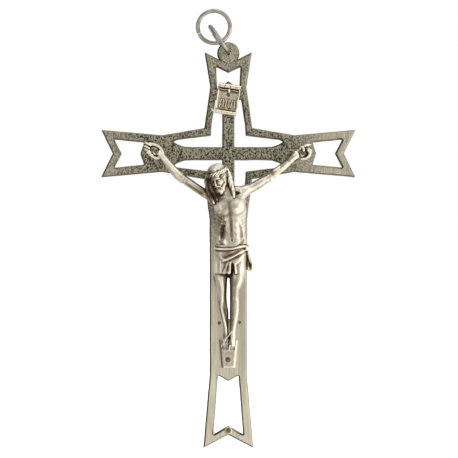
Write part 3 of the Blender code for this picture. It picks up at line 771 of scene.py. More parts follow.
def add_feet(body):
    """Feet turned down and nailed together, the right one in front."""
    body.tubes("""0.35 3, -0.6 -50.6 2.95 0.58, -0.8 -51.8 2.65 0.68, -1 -52.8 2.35 0.74;
        0.3 3, 1.26 -50.6 3.4 0.6, 1.16 -51.8 3.45 0.74, 1.02 -53 3.1 0.8""")
    # block cast behind the feet
    body.balls("0.4, 0 -52.4 1.45, 1.8 1.2 1.75; 0.35, 0.1 -51.6 2.35, 0.75 0.95 1.1")
    add_toes(body, """0.3 -54.62 0.3, 0.8 -54.82 0.24, 1.18 -54.78 0.22, 1.52 -54.62 0.21,
        1.83 -54.36 0.19""", root=0.75, middle=0.9, prouds=(3.72, 3.42, 2.98),
             drops=(0.10, 0.13), side=1, depth=5.0)
    add_toes(body, """-0.26 -54.3 0.28, -0.76 -54.48 0.23, -1.15 -54.42 0.21,
        -1.5 -54.22 0.2, -1.8 -53.92 0.18""", root=-0.80, middle=-0.95,
             prouds=(2.95, 2.80, 2.42), drops=(0.08, 0.09), side=-1, depth=4.4)
    # the gap between the feet and the fold over its top
    body.tubes("0.16 3, 0.42 -50.6 4.3 0.14, 0.12 -52 4 0.2, -0.02 -53.9 3.6 0.12", cut=True)
    body.tubes("0.1 3, 0.8 -49.3 3.9 0.2, 0.3 -50.1 3.75 0.24, -0.18 -50.9 3.4 0.22")
    # tendons
    body.mould("""0.15 -51.3 0.13 0.04, -0.15 -52.3 0.13 0.16, -0.3 -53.2 0.13 0.06;
        1.3 -51.2 0.16 0.04, 0.75 -52.4 0.16 0.1, 0.35 -53.4 0.16 0.04""")
    body.mould("-0.7 -51.2 0.16 0.04, -1.1 -52.4 0.16 0.1, -1.5 -53.2 0.16 0.04", 4.6)


def build_cloth():
    """The loincloth: a tight wrap, a rolled edge, folds drawn up to the knot, a hanging end."""
    cloth = Relief()
    cloth.add(loft("""-25.4 0.88 4.45 3.9 2.2, -27 0.85 4.62 3.9 2.5, -29 0.72 4.66 4 2.66,
        -31.2 0.48 4.62 4.15 2.66, -33.28 0.24 4.5 4.3 2.42""", 0.12), 0.2)
    # thighs pressing through
    cloth.mould("-2.5 -31.6 1.5 2.4 0 0.28; 3.7 -30.8 1.1 3.4 0 0.34", 6.5)
    # the upper layer hangs in a V from both hips
    cloth.mould("""4.9 -26.7 0.3 0.14, 3.3 -27.5 0.3 0.34, 1.6 -28.45 0.29 0.38,
        0.2 -29.15 0.28 0.36, -1.35 -29.65 0.26 0.24;
        4.3 -27.6 0.28 -0.1, 2.9 -28.45 0.32 -0.24, 1.3 -29.3 0.32 -0.26, 0 -29.9 0.3 -0.22,
        -1.2 -30.3 0.28 -0.12;
        3.6 -26.75 0.3 -0.06, 1.6 -27.65 0.34 -0.2, -0.2 -28.4 0.32 -0.2, -1.5 -28.9 0.28 -0.06;
        -4 -26.9 0.4 0.05, -2.9 -27.8 0.46 0.06, -2 -28.8 0.42 0.09, -1.35 -29.65 0.34 0.12;
        -3.9 -27.7 0.4 -0.04, -3 -28.6 0.42 -0.06, -2.1 -29.6 0.38 -0.1,
        -1.5 -30.4 0.3 -0.1""", 6.5)
    # second drape under it
    cloth.mould("""4.6 -27.6 0.34 0.08, 3.7 -28.8 0.4 0.2, 2.6 -29.8 0.38 0.2,
        1.9 -30.5 0.3 0.12;
        4 -29.2 0.3 -0.04, 3.2 -30.1 0.32 -0.12, 2.5 -30.9 0.3 -0.1""", 6.5)
    # falls between and over the thighs
    cloth.mould("""-0.1 -29.9 0.26 0.14, -0.45 -30.9 0.32 0.16, -0.95 -32 0.34 0.15,
        -1.45 -33.5 0.34 0.06;
        -0.75 -30.5 0.24 -0.1, -1.15 -31.5 0.32 -0.16, -1.75 -33.2 0.34 -0.1;
        0.5 -30.1 0.22 0.2, 0.56 -31.6 0.26 0.3, 0.48 -33.5 0.28 0.16;
        -0.02 -30.6 0.2 -0.08, -0.2 -31.8 0.26 -0.16, -0.45 -33.5 0.28 -0.12;
        1.12 -30.3 0.26 -0.25, 1.18 -31.7 0.36 -1, 1.2 -33.8 0.46 -1.7;
        1.92 -30.6 0.22 0.18, 1.96 -31.9 0.26 0.24, 2.02 -33.5 0.28 0.12;
        2.75 -30.9 0.3 -0.1, 2.72 -32.2 0.34 -0.12, 2.7 -33.5 0.34 -0.08""", 6.5)
    cloth.mould("-3.7 -28.6 0.34 0.08, -3.75 -30.6 0.42 0.18, -3.7 -33.5 0.42 0.06", 6.0)
    cloth.mould("-2.75 -29.4 0.34 -0.06, -2.8 -31.2 0.44 -0.1, -2.75 -33.5 0.44 -0.06", 6.5)
    # rolled upper edge
    cloth.tubes("""0.1 5, -3.7 -26.1 3.2 0.3, -3.72 -26.25 4.6 0.33, -2.75 -26.45 5.72 0.32,
        -1.3 -26.56 6.22 0.31, 0.3 -26.55 6.4 0.31, 1.8 -26.35 6.3 0.31, 3.5 -25.85 5.92 0.34,
        4.7 -25.8 5.1 0.4, 5.2 -25.8 4.3 0.4""")
    cloth.mould("""-3.4 -26.95 0.26 -0.02, -1.6 -27.1 0.28 -0.05, 0.4 -27.1 0.28 -0.06,
        2.4 -26.75 0.28 -0.06, 3.9 -26.35 0.24 -0.02""", 6.5)
    # knot at the hip and the end that hangs beside it
    cloth.balls("0.15, 5 -26.3 4.9, 0.62 0.9 0.8, 20")
    cloth.tubes("""0.1 4, 4.5 -26.9 5.6 0.28, 5.1 -26.6 5.75 0.33, 5.5 -25.9 5.1 0.3,
        5.45 -25.4 4.3 0.24;
        0.12 4, 5.15 -26.6 4.6 0.42, 5.45 -27.9 4.6 0.44, 5.95 -29.2 4.6 0.52,
        6.3 -30.1 4.4 0.5;
        0.1 4, 5.95 -28.9 4.8 0.3, 6.48 -30 4.7 0.33, 6.66 -31.1 4.4 0.32, 6.58 -32.1 4.1 0.3,
        6.1 -32.45 4 0.28;
        0.1 4, 5.45 -28.6 4.4 0.28, 5.42 -30 4.4 0.3, 5.4 -31.3 4.2 0.3, 5.5 -32.2 4 0.3,
        6.1 -32.5 4 0.28""")
    cloth.balls("0.1, 6 -31 3.7, 0.66 0.62 1.45")
    cloth.balls("0.14, 6.05 -31.25 4.55, 0.24 0.5 0.55", cut=True)
    return cloth


def build_corpus():
    body = Relief()
    add_trunk(body)
    add_arms(body)
    add_hands(body)
    add_legs(body)
    add_feet(body)
    body.add((build_cloth().value, vec(at(0.9, -29.0, 4.2)), 7.6), 0.05)
    # neck, then the head leaning to the left and bowed
    body.add(cone(at(0.1, -12.4, 4.4), at(-1.6, -8.8, 5.0), 1.75, 1.60), 0.8)
    body.balls("0.5, -3.6 -10.2 4.1, 1.9 1.5 2.4, -12")
    head, centre, axes = build_head(), vec(at(-2.95, -6.95, 5.50)), rot(-20, 17, -17)
    body.add((lambda points: head.value((points - centre) @ axes), centre, 6.2), 0.10)
    for i, (strands, turns, path) in enumerate(LOCKS):
        add_lock(body, [at(*point) for point in paths(path)[0]], strands, turns, 0.9 * i)
    # clearance round the nails
    for nail in NAILS[:3]:
        low, high = mm_box(nail)
        x, _, z = (low + high) / 2
        body.cut(cone((x, 2.0, z), (x, low[1] + 0.30, z), 0.50), 0.05)
    # flat back: nothing goes behind the gap in front of the plate
    body.cut(slab((0, 3.0 + FRONT - 0.12, -25), (60, 3.0, 60)), 0.05)
    return body


# Dark spots, some of them tarnish where polish did not reach and some painted shade, and
# (negative) painted highlights: x, z, spread x, spread z, amount
TARNISH_AND_PAINTED_LIGHT = paths("""
-1.45 -21.4 1.05 2.4 0.8, -0.7 -22.6 0.7 1.8 0.25, 0.55 -16.6 0.6 2.4 0.5,
0.8 -21 0.5 2.8 0.55, -0.2 -14.6 1.6 1.4 0.22, -3 -19.8 0.5 3.2 0.25, 0.7 -10.2 0.9 1.6 0.75,
2.35 -11.2 0.6 0.6 0.5, -4.6 -6.5 1.2 1.2 0.45, -3.2 -11.8 1.5 1 0.95, -2.6 -11.9 1.2 0.7 0.4,
1.15 -31.6 0.42 1.5 0.9, -0.6 -31.7 0.9 1.7 0.55, 2 -32 0.4 1.3 0.45, 0.2 -27.8 2 0.7 0.45,
-1 -28.6 1.2 0.8 0.25, -1 -33.8 1 0.5 0.5, 3.9 -33.9 0.6 0.6 0.2, 5.2 -29.6 0.35 1.8 0.9,
5.7 -26.9 0.5 1.2 0.3, 6.4 -29.2 0.5 1.3 0.35, 6.03 -31.2 0.3 0.8 0.6, -0.95 -50.8 0.8 0.9 0.5,
0.15 -53.2 0.4 1.2 0.35, 0.75 -52.2 0.3 0.7 0.25, 3.75 -21.4 0.28 2.6 0.22,
-0.9 -24.5 0.55 0.6 -0.75, -3.6 -14.2 0.55 1 -0.55, -2.5 -23.6 0.35 0.9 -0.35,
2.2 -13.3 1.2 0.8 -0.16, -1.6 -13.9 1 0.9 -0.1, -1.7 -18.2 0.9 1.2 0.45,
-2.5 -19.6 0.6 1.6 0.2, -1.9 -8.3 0.9 1.5 -0.3, -20.7 1 0.8 0.8 0.7, 21.4 -0.25 0.6 0.6 0.7,
20 0.5 0.3 0.9 0.5, 22.2 1.75 0.8 0.4 0.6, 3 -14.2 1 1.2 -0.16, 2.7 -20 0.6 4 -0.2,
4.5 -17.5 0.4 5 -0.15, 3.9 -18 0.4 3 0.1, -3.1 -14.6 0.6 1 -0.25, -2 -16.4 1.3 0.9 0.2,
-3.4 -17.6 0.6 1.6 0.25, 4.2 -10.5 1.1 0.8 -0.35, -0.55 -21.6 0.35 2.4 -0.25,
3.6 -30.5 0.7 3.8 -0.3, 4.7 -30.5 0.3 3 0.2, -3.7 -30.2 0.4 2.6 -0.6,
-2.9 -28.8 0.8 1.6 -0.15, 5.5 -30.8 0.6 0.9 0.35, -19.9 0.4 1.5 1.3 -0.3,
-3.3 -3.6 1.8 1 -0.3, -0.2 -4.6 1 0.8 -0.25""")[0]
# Tarnish, painted shade and (negative) painted highlights along lines: x, z, spread, amount
TARNISH_AND_PAINTED_LIGHT_LINES = paths("""
-0.98 -34.4 0.48 0.75, -0.82 -37.6 0.44 0.85, -1.02 -40.8 0.5 0.85, -0.92 -43.5 0.74 0.95,
-0.38 -46 0.74 0.95, 0.02 -48.3 0.46 0.95, 0.15 -50.4 0.44 0.8;
1.05 -33.8 0.5 0.6, 0.95 -38 0.5 0.62, 1.05 -42 0.58 0.66, 1 -46 0.46 0.7, 0.92 -48.8 0.34 0.65;
-2.62 -41 0.26 0.6, -2.4 -43.5 0.36 1, -1.8 -46.4 0.34 0.85, -1.2 -49.2 0.32 0.7,
-1.5 -51 0.4 0.6;
-4 -34.2 0.28 0.6, -3.45 -37.3 0.22 0.7, -3 -39.6 0.18 0.6, -2.85 -41 0.18 0.5;
-3.05 -34.4 0.55 0.22, -2.6 -37 0.45 0.12, -2.35 -38.2 0.3 0;
-2.65 -37.6 0.42 -0.3, -2.5 -39 0.42 -0.35, -2.35 -40.2 0.26 0;
-2.15 -40.4 0.22 0.45, -2.05 -41.6 0.16 0.35;
4.35 -34.6 0.3 0.35, 3.35 -37.6 0.26 0.4, 3.2 -41.5 0.26 0.4, 3.05 -44.5 0.26 0.4,
2.2 -47.8 0.22 0.35;
0.8 -49.3 0.16 -0.5, -0.18 -50.9 0.16 -0.5;
1.95 -35 0.5 0.35, 1.75 -38.2 0.34 0.3, 1.8 -41 0.28 0.22;
-2.15 -34.2 0.3 -0.3, -1.6 -37.5 0.26 -0.35, -1.74 -40.8 0.22 -0.35, -1.88 -42.6 0.18 -0.3,
-1.28 -45.3 0.17 -0.28, -0.64 -48.1 0.16 -0.2;
3.4 -34 0.6 -0.1, 2.6 -37.8 0.6 0.1, 2.6 -41.8 0.6 0.14, 2.4 -44 0.55 0.14,
1.9 -46.8 0.4 0.1, 1.6 -50 0.24 0, 1.65 -53.5 0.3 -0.05;
-4.2 -33.25 0.24 0.4, -0.4 -33.3 0.24 0.45; 1.7 -33.3 0.24 0.45, 3 -33.25 0.24 0.3;
0.55 -54.9 0.12 0.85, 0.62 -52.6 0.1 0.6; 1 -54.9 0.12 0.85, 0.93 -52.8 0.1 0.55;
1.36 -54.8 0.11 0.8, 1.25 -53 0.1 0.5; 1.69 -54.6 0.1 0.7, 1.5 -53.3 0.09 0.35;
0.3 -51 0.16 0.6, 0.12 -52.4 0.15 0.85, 0.02 -54.3 0.14 0.9;
0.72 -50.9 0.12 0.6, 0.42 -52 0.12 0.5; 1.95 -52 0.16 0.45, 2.05 -54 0.16 0.6;
-1.75 -51.4 0.24 0.6, -1.95 -53.6 0.22 0.7; -0.35 -50.9 0.13 -0.2, -0.45 -52.2 0.12 -0.3;
-0.42 -52 0.1 -0.3, -0.28 -54.2 0.1 -0.4; -0.8 -52 0.1 -0.3, -0.76 -54.3 0.1 -0.4;
-1.08 -51.8 0.1 -0.4, -1.16 -54.2 0.1 -0.5; -1.42 -51.4 0.1 -0.4, -1.52 -54 0.1 -0.5;
0.35 -51.5 0.1 -0.4, 0.22 -53.2 0.1 -0.4; -0.1 -51.5 0.09 -0.5, -0.25 -53 0.09 -0.5;
-0.52 -54.6 0.12 0.85, -0.62 -52.2 0.11 0.75; -0.96 -54.6 0.12 0.85, -0.93 -52.2 0.11 0.75;
-1.33 -54.5 0.11 0.8, -1.2 -52.3 0.1 0.65; -1.66 -54.3 0.1 0.7, -1.5 -52.6 0.09 0.4;
-5.6 -5.6 1 0.6, -5.7 -8.6 1.15 0.95, -5 -11.6 1.1 1, -4.05 -14 0.8 0.75;
-4.6 -8 0.8 0.55, -3.9 -11.2 0.8 0.75, -3.15 -13 0.6 0.75;
-12.4 -7.1 0.9 0.2, -9.6 -9.4 1.1 0.28, -7 -11 1.2 0.5;
-12.2 -6 0.26 0.7, -9.9 -7.6 0.28 0.85, -7.4 -9.3 0.32 0.9;
-12 -8.2 0.24 0.3, -9.7 -9.7 0.26 0.45, -7.4 -11.3 0.3 0.5;
-14.6 -6.9 0.5 0.35, -16.8 -4.3 0.45 0.4, -18.8 -1.7 0.4 0.4;
-13.2 -5.6 0.45 -0.3, -15.4 -3.3 0.45 -0.3, -17.4 -0.9 0.4 -0.3;
12.4 -4.9 0.55 0.4, 15 -3 0.5 0.4, 17.6 -0.8 0.45 0.3;
12.4 -5.9 0.9 0.26, 15.2 -3.7 0.9 0.28, 18 -1.2 0.8 0.24;
5.6 -10.3 1 0.02, 8 -9 1 0.1, 10.8 -7.4 0.9 0.14;
4.4 -13 0.4 0.2, 6.4 -11 0.35 0.35, 10.9 -8.2 0.3 0.35;
6.9 -8.2 0.24 0.5, 8.6 -7.2 0.24 0.55, 11 -5.7 0.24 0.45;
11.9 -5.4 0.45 0.35, 12.6 -6.4 0.35 0.15;
-1.6 -26.6 0.4 0.4, 0.6 -26.6 0.4 0.6, 2.4 -26.3 0.4 0.4""")


# Tarnish with painted shade and painted highlights, summed from the spots and lines above
def figure_tarnish_and_painted_light(points):
    x, z = points[:, 0], points[:, 2]
    total = np.zeros(len(points))
    for spot_x, spot_z, spread_x, spread_z, amount in TARNISH_AND_PAINTED_LIGHT:
        total += amount * np.exp(-((x - spot_x) / spread_x) ** 2 - ((z - spot_z) / spread_z) ** 2)
    for line in TARNISH_AND_PAINTED_LIGHT_LINES:
        low = np.min([point[:2] for point in line], axis=0) - 3.0
        high = np.max([point[:2] for point in line], axis=0) + 3.0
        near = (x > low[0]) & (x < high[0]) & (z > low[1]) & (z < high[1])
        distance, spread, amount = polyline_field(line)[0](x[near], z[near])
        total[near] += amount * np.exp(-(distance / spread) ** 2)
    return total


# ============================================================================
# scroll, in its own axes: +X along its width, -Y forward, +Z up
# ============================================================================
# Plain raised strokes: x, z of both ends
STROKES = paths("""-1.95 -2.35, -1.7 -0.15; -1.2 -0.2, -0.95 -2.3; -0.4 -2.3, -0.15 -0.2;
    0.35 -0.25, 0.7 -2.35; 1.15 -2.3, 1.35 -0.15; 2 -0.3, 2.15 -2.2""")
SHEET_GAP, SHEET_HALF = 0.15, 0.17       # behind the sheet, and half its thickness
SHEET_TOP, SHEET_BOTTOM, SHEET_WIDTH = 3.55, -3.70, 3.05      # the last is half the width
SCROLL_NAIL = (0.03, 1.31)               # x, z


def scroll_tarnish_and_shadow(points):
    """Tarnish in the field, darker still round the strokes; painted shadow under the torn edge."""
    x, y, z = points.T
    field = (np.abs(x) < 2.75) & (z < 2.35) & (z > -3.0) & (y < -0.5)
    total = np.where(field, 0.16, 0.0)
    for (x0, z0), (x1, z1) in STROKES:
        dx, dz = x1 - x0, z1 - z0
        t = np.clip(((x - x0) * dx + (z - z0) * dz) / (dx * dx + dz * dz), 0, 1)
        away = np.hypot(x - x0 - t * dx, z - z0 - t * dz)
        total = total + np.where(field, 0.85 * np.exp(-((away - 0.24) / 0.10) ** 2)
                                 - 0.30 * np.exp(-(away / 0.12) ** 2), 0.0)
    rolls = (np.abs(z) > 3.0) & (y < -0.3)
    blotches = np.sin(x * 4.3 + 0.7) + 0.7 * np.sin(x * 8.1 + 2.0 + z)
    total = total + np.where(rolls, 0.34 * np.clip(blotches, 0.0, 1.2), 0.0)
    # painted shadow under the torn upper edge, left off where the tongue hangs down
    lip_shadow = np.exp(-((z - 2.25) / 0.22) ** 2) * (np.abs(x) < 2.7) * (np.abs(x - 0.05) > 0.4)
    return total + 0.75 * lip_shadow + 0.35 * np.exp(-((z + 3.05) / 0.12) ** 2)


def section_distance(line):
    """Distance in a plane to an open line of points."""
    line = [np.array(point, float) for point in line]

    def field(across, up):
        nearest = None
        for a, b in zip(line, line[1:]):
            span = b - a
            t = np.clip(((across - a[0]) * span[0] + (up - a[1]) * span[1]) / (span @ span), 0, 1)
            distance = np.hypot(across - a[0] - t * span[0], up - a[1] - t * span[1])
            nearest = distance if nearest is None else np.minimum(nearest, distance)
        return nearest
    return field


def roll_section(level, radius, count, turn):
    """(z, y) points of a spiral that tightens as it turns."""
    points = []
    for i in range(count):
        angle = math.radians(-90 + turn * i)
        shrunk = radius - 0.020 * i
        points.append((level + shrunk * math.cos(angle),
                       -(SHEET_GAP + SHEET_HALF + radius) - shrunk * math.sin(angle)))
    return points


def build_scroll():
    """A small parchment rolled towards the viewer at both ends."""
    scroll = Shape()
    sheet_y = -(SHEET_GAP + SHEET_HALF)
    lower = roll_section(SHEET_BOTTOM, 0.50, 12, -33)
    upper = roll_section(SHEET_TOP, 0.56, 13, 33)
    section = section_distance(
        lower[::-1] + [(SHEET_BOTTOM, sheet_y), (SHEET_TOP, sheet_y)] + upper)

    def sheet(points):
        x, y, z = points.T
        ragged = 0.07 * np.sin(z * 3.1 + 0.6) + 0.05 * np.sin(z * 7.3 + 1.1)
        half = SHEET_WIDTH + 0.10 * (z / 4.0) + np.where(x > 0, ragged, -0.8 * ragged)
        off = section(z, y) - SHEET_HALF
        side = np.abs(x) - half
        return (np.minimum(np.maximum(off, side), 0.0)
                + np.hypot(np.maximum(off, 0), np.maximum(side, 0)) - 0.03)
    scroll.add((sheet, vec((0, -0.9, 0)), 5.6), 0.0)
    # solid behind the rolls, as cast
    scroll.add(slab((0, -(SHEET_GAP + 0.36), 0), (SHEET_WIDTH - 0.05, 0.34, 3.5), 0.08), 0.10)
    # raised rim at the right, a low one at the left, torn lip under the upper roll
    scroll.tubes("""0.12 4, 2.82 -0.9 3 0.2, 2.96 -0.92 1.4 0.17, 2.8 -0.9 -0.2 0.18,
        2.92 -0.92 -1.8 0.17, 2.8 -0.88 -3.2 0.2;
        0.12 4, -2.88 -0.82 3 0.14, -2.96 -0.84 0.4 0.12, -2.86 -0.82 -3.1 0.14;
        0.1 4, -2.7 -1.05 2.62 0.12, -1.5 -1 2.42 0.15, -0.6 -0.98 2.64 0.13, 0.3 -1 2.36 0.15,
        1.3 -1 2.62 0.14, 2.4 -1.05 2.45 0.14""")
    scroll.tubes("""0.1 3, -2.6 -0.95 2.2 0.1, -1.4 -0.95 2.02 0.13, -0.7 -0.95 2.2 0.1;
        0.1 3, 0.6 -0.95 2.02 0.1, 1.5 -0.95 2.14 0.12, 2.5 -0.95 2.02 0.1""", cut=True)
    # hollows in the ends of the rolls
    for x in (-SHEET_WIDTH - 0.02, SHEET_WIDTH + 0.02):
        for z, radius in ((SHEET_TOP, 0.30), (SHEET_BOTTOM, 0.26)):
            scroll.cut(ellipsoid((x, -(SHEET_GAP + 0.73), z),
                                 (0.30, radius * 0.55, radius * 0.55)), 0.08)
    for (x0, z0), (x1, z1) in STROKES:
        scroll.add(rope([(x0, -0.84, z0, 0.14), ((x0 + x1) / 2, -0.87, (z0 + z1) / 2, 0.155),
                         (x1, -0.84, z1, 0.14)], 3), 0.04)
    # a bar under the strokes, the lower roll's loose end curling away at the left,
    # and a tongue of the torn edge hanging down to the nail
    scroll.tubes("""0.05 4, -2.1 -0.82 -2.72 0.1, 0 -0.84 -2.8 0.12, 1.9 -0.82 -2.7 0.1;
        0.12 3, -2.6 -0.98 -3.72 0.34, -3.2 -0.98 -3.8 0.32, -3.7 -0.92 -3.66 0.28,
        -3.92 -0.86 -3.34 0.22;
        0.12 3, 0 -1.05 2.65 0.34, 0.05 -0.98 2.25 0.3, 0.06 -0.92 1.95 0.22""")
    x, z = SCROLL_NAIL
    scroll.cut(cone((x, 1.0, z), (x, -0.55, z), 0.50), 0.05)
    return scroll


# ============================================================================
# footrest
# ============================================================================
REST_X, REST_BOTTOM, REST_TOP = 0.05, -59.6, -51.75
REST_NAIL = (-0.11, -57.16)              # x, z
REST_BEVEL = 0.42


def rest_widening(z):
    return np.clip((z - REST_BOTTOM) / 7.9, 0, 1)


def footrest_painted_light(points):
    """Painted shade on the left wall and bevel, a painted highlight on the right side."""
    x = points[:, 0]
    edge = REST_X - (1.95 + 0.72 * rest_widening(points[:, 2])) + REST_BEVEL
    return (2.2 / (1.0 + np.exp((x - edge - 0.10) / 0.07))
            - 0.30 / (1.0 + np.exp(-(x - 0.10 + edge) / 0.08)))


def build_footrest():
    """A block that widens upwards, open at the top."""
    rest = Shape()
    low, high = mm_box("footrest")
    back, front = high[1], low[1]
    depth = back - front

    def block(points):
        x, y, z = points.T
        up = rest_widening(z)
        forward = np.clip((back - y) / depth, 0, 1)
        half = 1.95 + 0.72 * up - REST_BEVEL * forward * forward * (1 - 0.4 * up)
        side = np.abs(x - REST_X) - half
        below = REST_BOTTOM + 0.22 * forward - z
        above = z - REST_TOP
        beyond = np.maximum(y - back, front - y)
        return smooth_max(smooth_max(side, np.maximum(below, above), 0.12), beyond, 0.16)
    rest.add((block, vec((REST_X, (back + front) / 2, -55.7)), 5.0), 0.0)
    # open at the top between the side walls, where the feet rest
    rest.cut(rope([(REST_X, front - 0.1, -50.6, 2.05), (REST_X, front - 0.1, -52.4, 1.80)], 3),
             0.12)
    rest.cut(slab((REST_X, front - 0.2, -52.0), (1.74, 1.55, 2.35), 0.45), 0.30)
    # a bore for the nail and a shallow sunk field round it
    x, z = REST_NAIL
    rest.cut(cone((x, back + 1, z), (x, front + 0.30, z), 0.50), 0.05)
    rest.cut(ellipsoid((x, front - 0.10, z), (0.80, 0.22, 0.80)), 0.20)

    def dents(points):
        return (0.016 * np.sin(points[:, 0] * 5.1 + 1.0)
                * np.sin(points[:, 2] * 4.3 + 0.5))
    rest.push(dents, (REST_X, front, -57.0), 4.0)
    return rest


# ============================================================================
# plate; a loop is (x, z, corner radius) points, where radius None keeps one smooth point
# ============================================================================
LUG_Z, LUG_RADIUS = 27.91, 3.10
LUG_FOOT = (2.563, 26.166)               # x, z where the lug's disc meets the plate
BOSS_Z = -76.95
# Round pits beside the shaft: x, z, radius, narrowing of the painted shade in them
PITS = ((-2.50, -47.10, 0.46, 1.0), (3.10, -46.90, 0.44, 1.9))
CORNER_STEPS = 5
PIT_SIDES = 20
TIP = 0.16                               # radius of the sharp corners

TOP_OPENING = [
    (3.10, 18.07, TIP), (3.09, 18.49, 0.3), (3.36, 24.13, TIP), (0.0, 22.50, 0.15),
    (-3.36, 24.13, TIP), (-3.09, 18.49, 0.3), (-3.10, 18.07, TIP), (0.0, 20.20, 0.15)]
SIDE_OPENING = [
    (24.50, 0.0, 0.2), (23.50, -3.08, 0.2), (31.75, -3.90, TIP), (29.70, 0.0, 0.15),
    (31.75, 3.90, TIP), (23.50, 3.08, 0.2)]
FOOT_OPENING = [
    (0.0, -75.80, 0.2), (4.11, -78.20, TIP), (2.82, -61.80, TIP), (0.0, -63.40, 0.15),
    (-2.82, -61.80, TIP), (-4.11, -78.20, TIP)]
CORNER_OPENING = [
    (1.72, 1.83, TIP), (9.29, 1.83, 3.0), (12.20, 1.92, 2.0), (14.04, 2.56, 1.0),
    (15.00, 3.12, 0.25), (15.08, 3.46, 0.2), (14.04, 3.86, 1.0), (9.29, 4.42, 2.0),
    (4.81, 5.00, 0.25), (4.64, 8.00, 2.0), (3.53, 15.00, TIP), (1.72, 15.00, TIP)]
# Right half of the outline, from the foot up
RIGHT_EDGE = [
    (7.00, -81.95, 0.08), (5.20, -61.60, 2.0), (5.20, -18.45, 2.0), (6.67, -7.12, 0.25),
    (18.40, -5.10, 2.5), (35.39, -6.60, TIP), (32.16, 0.0, 0.12), (35.39, 6.60, TIP),
    (18.40, 5.10, 2.5), (6.67, 7.12, 0.25), (5.03, 18.45, 1.2), (6.60, 28.24, TIP)]
# The crease under the lug, where its disc meets the horned bar
CREASE = [(-1.95, 26.00, 0.05), (-2.05, 25.82, 0.05), (0.0, 24.72, 0.08), (2.05, 25.82, 0.05),
          (1.95, 26.00, 0.05), (0.0, 24.98, 0.08)]
CREASE_DEPTH = 0.22
# Wall of a nail hole: distance in from the wall, y
NAIL_WALL = [(0.40, 0.0), (0.38, -0.02), (0.02, -0.56), (0.0, -0.62), (0.0, -1.94),
             (0.02, -1.985), (0.06, -2.0)]


def arc(x, z, radius, start, end, count):
    """Smooth points along an arc, both ends included."""
    angles = [math.radians(start + (end - start) * i / count) for i in range(count + 1)]
    return [(x + radius * math.cos(a), z + radius * math.sin(a), None) for a in angles]


def circle(x, z, radius, count):
    """A full turn, running clockwise as the openings do."""
    return arc(x, z, radius, 0, 360, count)[-2::-1]


def mirror_x(loop):
    return [(-x, z, radius) for x, z, radius in reversed(loop)]


def mirror_z(loop):
    return [(x, -z, radius) for x, z, radius in reversed(loop)]


def offset_corners(loop, dist):
    """Corners of a closed loop moved to its left: x, z, turn, directions and left normals."""
    corners = []
    for i, here in enumerate(loop):
        before, after = loop[i - 1], loop[(i + 1) % len(loop)]
        d1 = Vector((here[0] - before[0], here[1] - before[1])).normalized()
        d2 = Vector((after[0] - here[0], after[1] - here[1])).normalized()
        n1, n2 = Vector((-d1.y, d1.x)), Vector((-d2.y, d2.x))
        mitre = (n1 + n2) / max(0.2, 1.0 + n1.dot(n2))
        turn = d1.x * d2.y - d1.y * d2.x
        corners.append((here[0] + mitre.x * dist, here[1] + mitre.y * dist,
                        turn, d1, d2, n1, n2))
    return corners


def rounded_loop(loop, dist):
    """The loop moved left by dist with its corners rounded: points and left normals."""
    points, normals = [], []
    corners = offset_corners(loop, dist)
    for i, (x, z, turn, d1, d2, n1, n2) in enumerate(corners):
        radius = loop[i][2]
        if radius is None:
            normal = (n1 + n2).normalized()
            points.append((x, z))
            normals.append((normal.x, normal.y))
            continue
        # a left turn has its centre of rounding on the left
        fillet = max(0.015, radius - dist) if turn > 0 else radius + max(dist, 0.0)
        angle = math.acos(max(-1.0, min(1.0, d1.dot(d2))))
        if angle < 0.02:
            for k in range(CORNER_STEPS):
                points.append((x + d1.x * 0.01 * (k - 2), z + d1.y * 0.01 * (k - 2)))
                normals.append((n1.x, n1.y))
            continue
        before, after = corners[i - 1], corners[(i + 1) % len(corners)]
        room = 0.45 * min(math.hypot(x - before[0], z - before[1]),
                          math.hypot(after[0] - x, after[1] - z))
        tangent = min(fillet * math.tan(angle / 2), room)
        fillet = tangent / math.tan(angle / 2)
        sign = 1.0 if turn > 0 else -1.0
        start_x, start_z = x - d1.x * tangent, z - d1.y * tangent
        centre_x, centre_z = start_x + n1.x * fillet * sign, start_z + n1.y * fillet * sign
        dx, dz = start_x - centre_x, start_z - centre_z
        for k in range(CORNER_STEPS):
            swing = angle * (k / (CORNER_STEPS - 1)) * sign
            cos, sin = math.cos(swing), math.sin(swing)
            points.append((centre_x + dx * cos - dz * sin, centre_z + dx * sin + dz * cos))
            normals.append((n1.x * cos - n1.y * sin, n1.x * sin + n1.y * cos))
    return points, normals


def profile_normals(profile):
    """Outward normals, as (inward, y) parts, of a (distance in, y) profile, back to front."""
    normals = []
    for i in range(len(profile)):
        a, b = profile[max(i - 1, 0)], profile[min(i + 1, len(profile) - 1)]
        dx, dy = b[0] - a[0], b[1] - a[1]
        length = math.hypot(dx, dy) or 1.0
        normals.append((dy / length, -dx / length))
    normals[0] = (0.0, 1.0)
    normals[-1] = (0.0, -1.0)
    return normals


def soft_profile(width, depth):
    """Eased back edge, straight wall, then a bevel with eased corners up to the front."""
    back, ease = 0.10, 0.22
    return [(back * 1.6, 0.0), (back * 0.45, -back * 0.12), (back * 0.12, -back * 0.45),
            (0.0, -back * 1.5), (0.0, FRONT + depth + 0.10), (width * 0.04, FRONT + depth),
            (width * ease, FRONT + depth * (1 - ease)),
            (width * (1 - ease), FRONT + depth * ease), (width * 0.95, FRONT + 0.015),
            (width * 1.12, FRONT)]


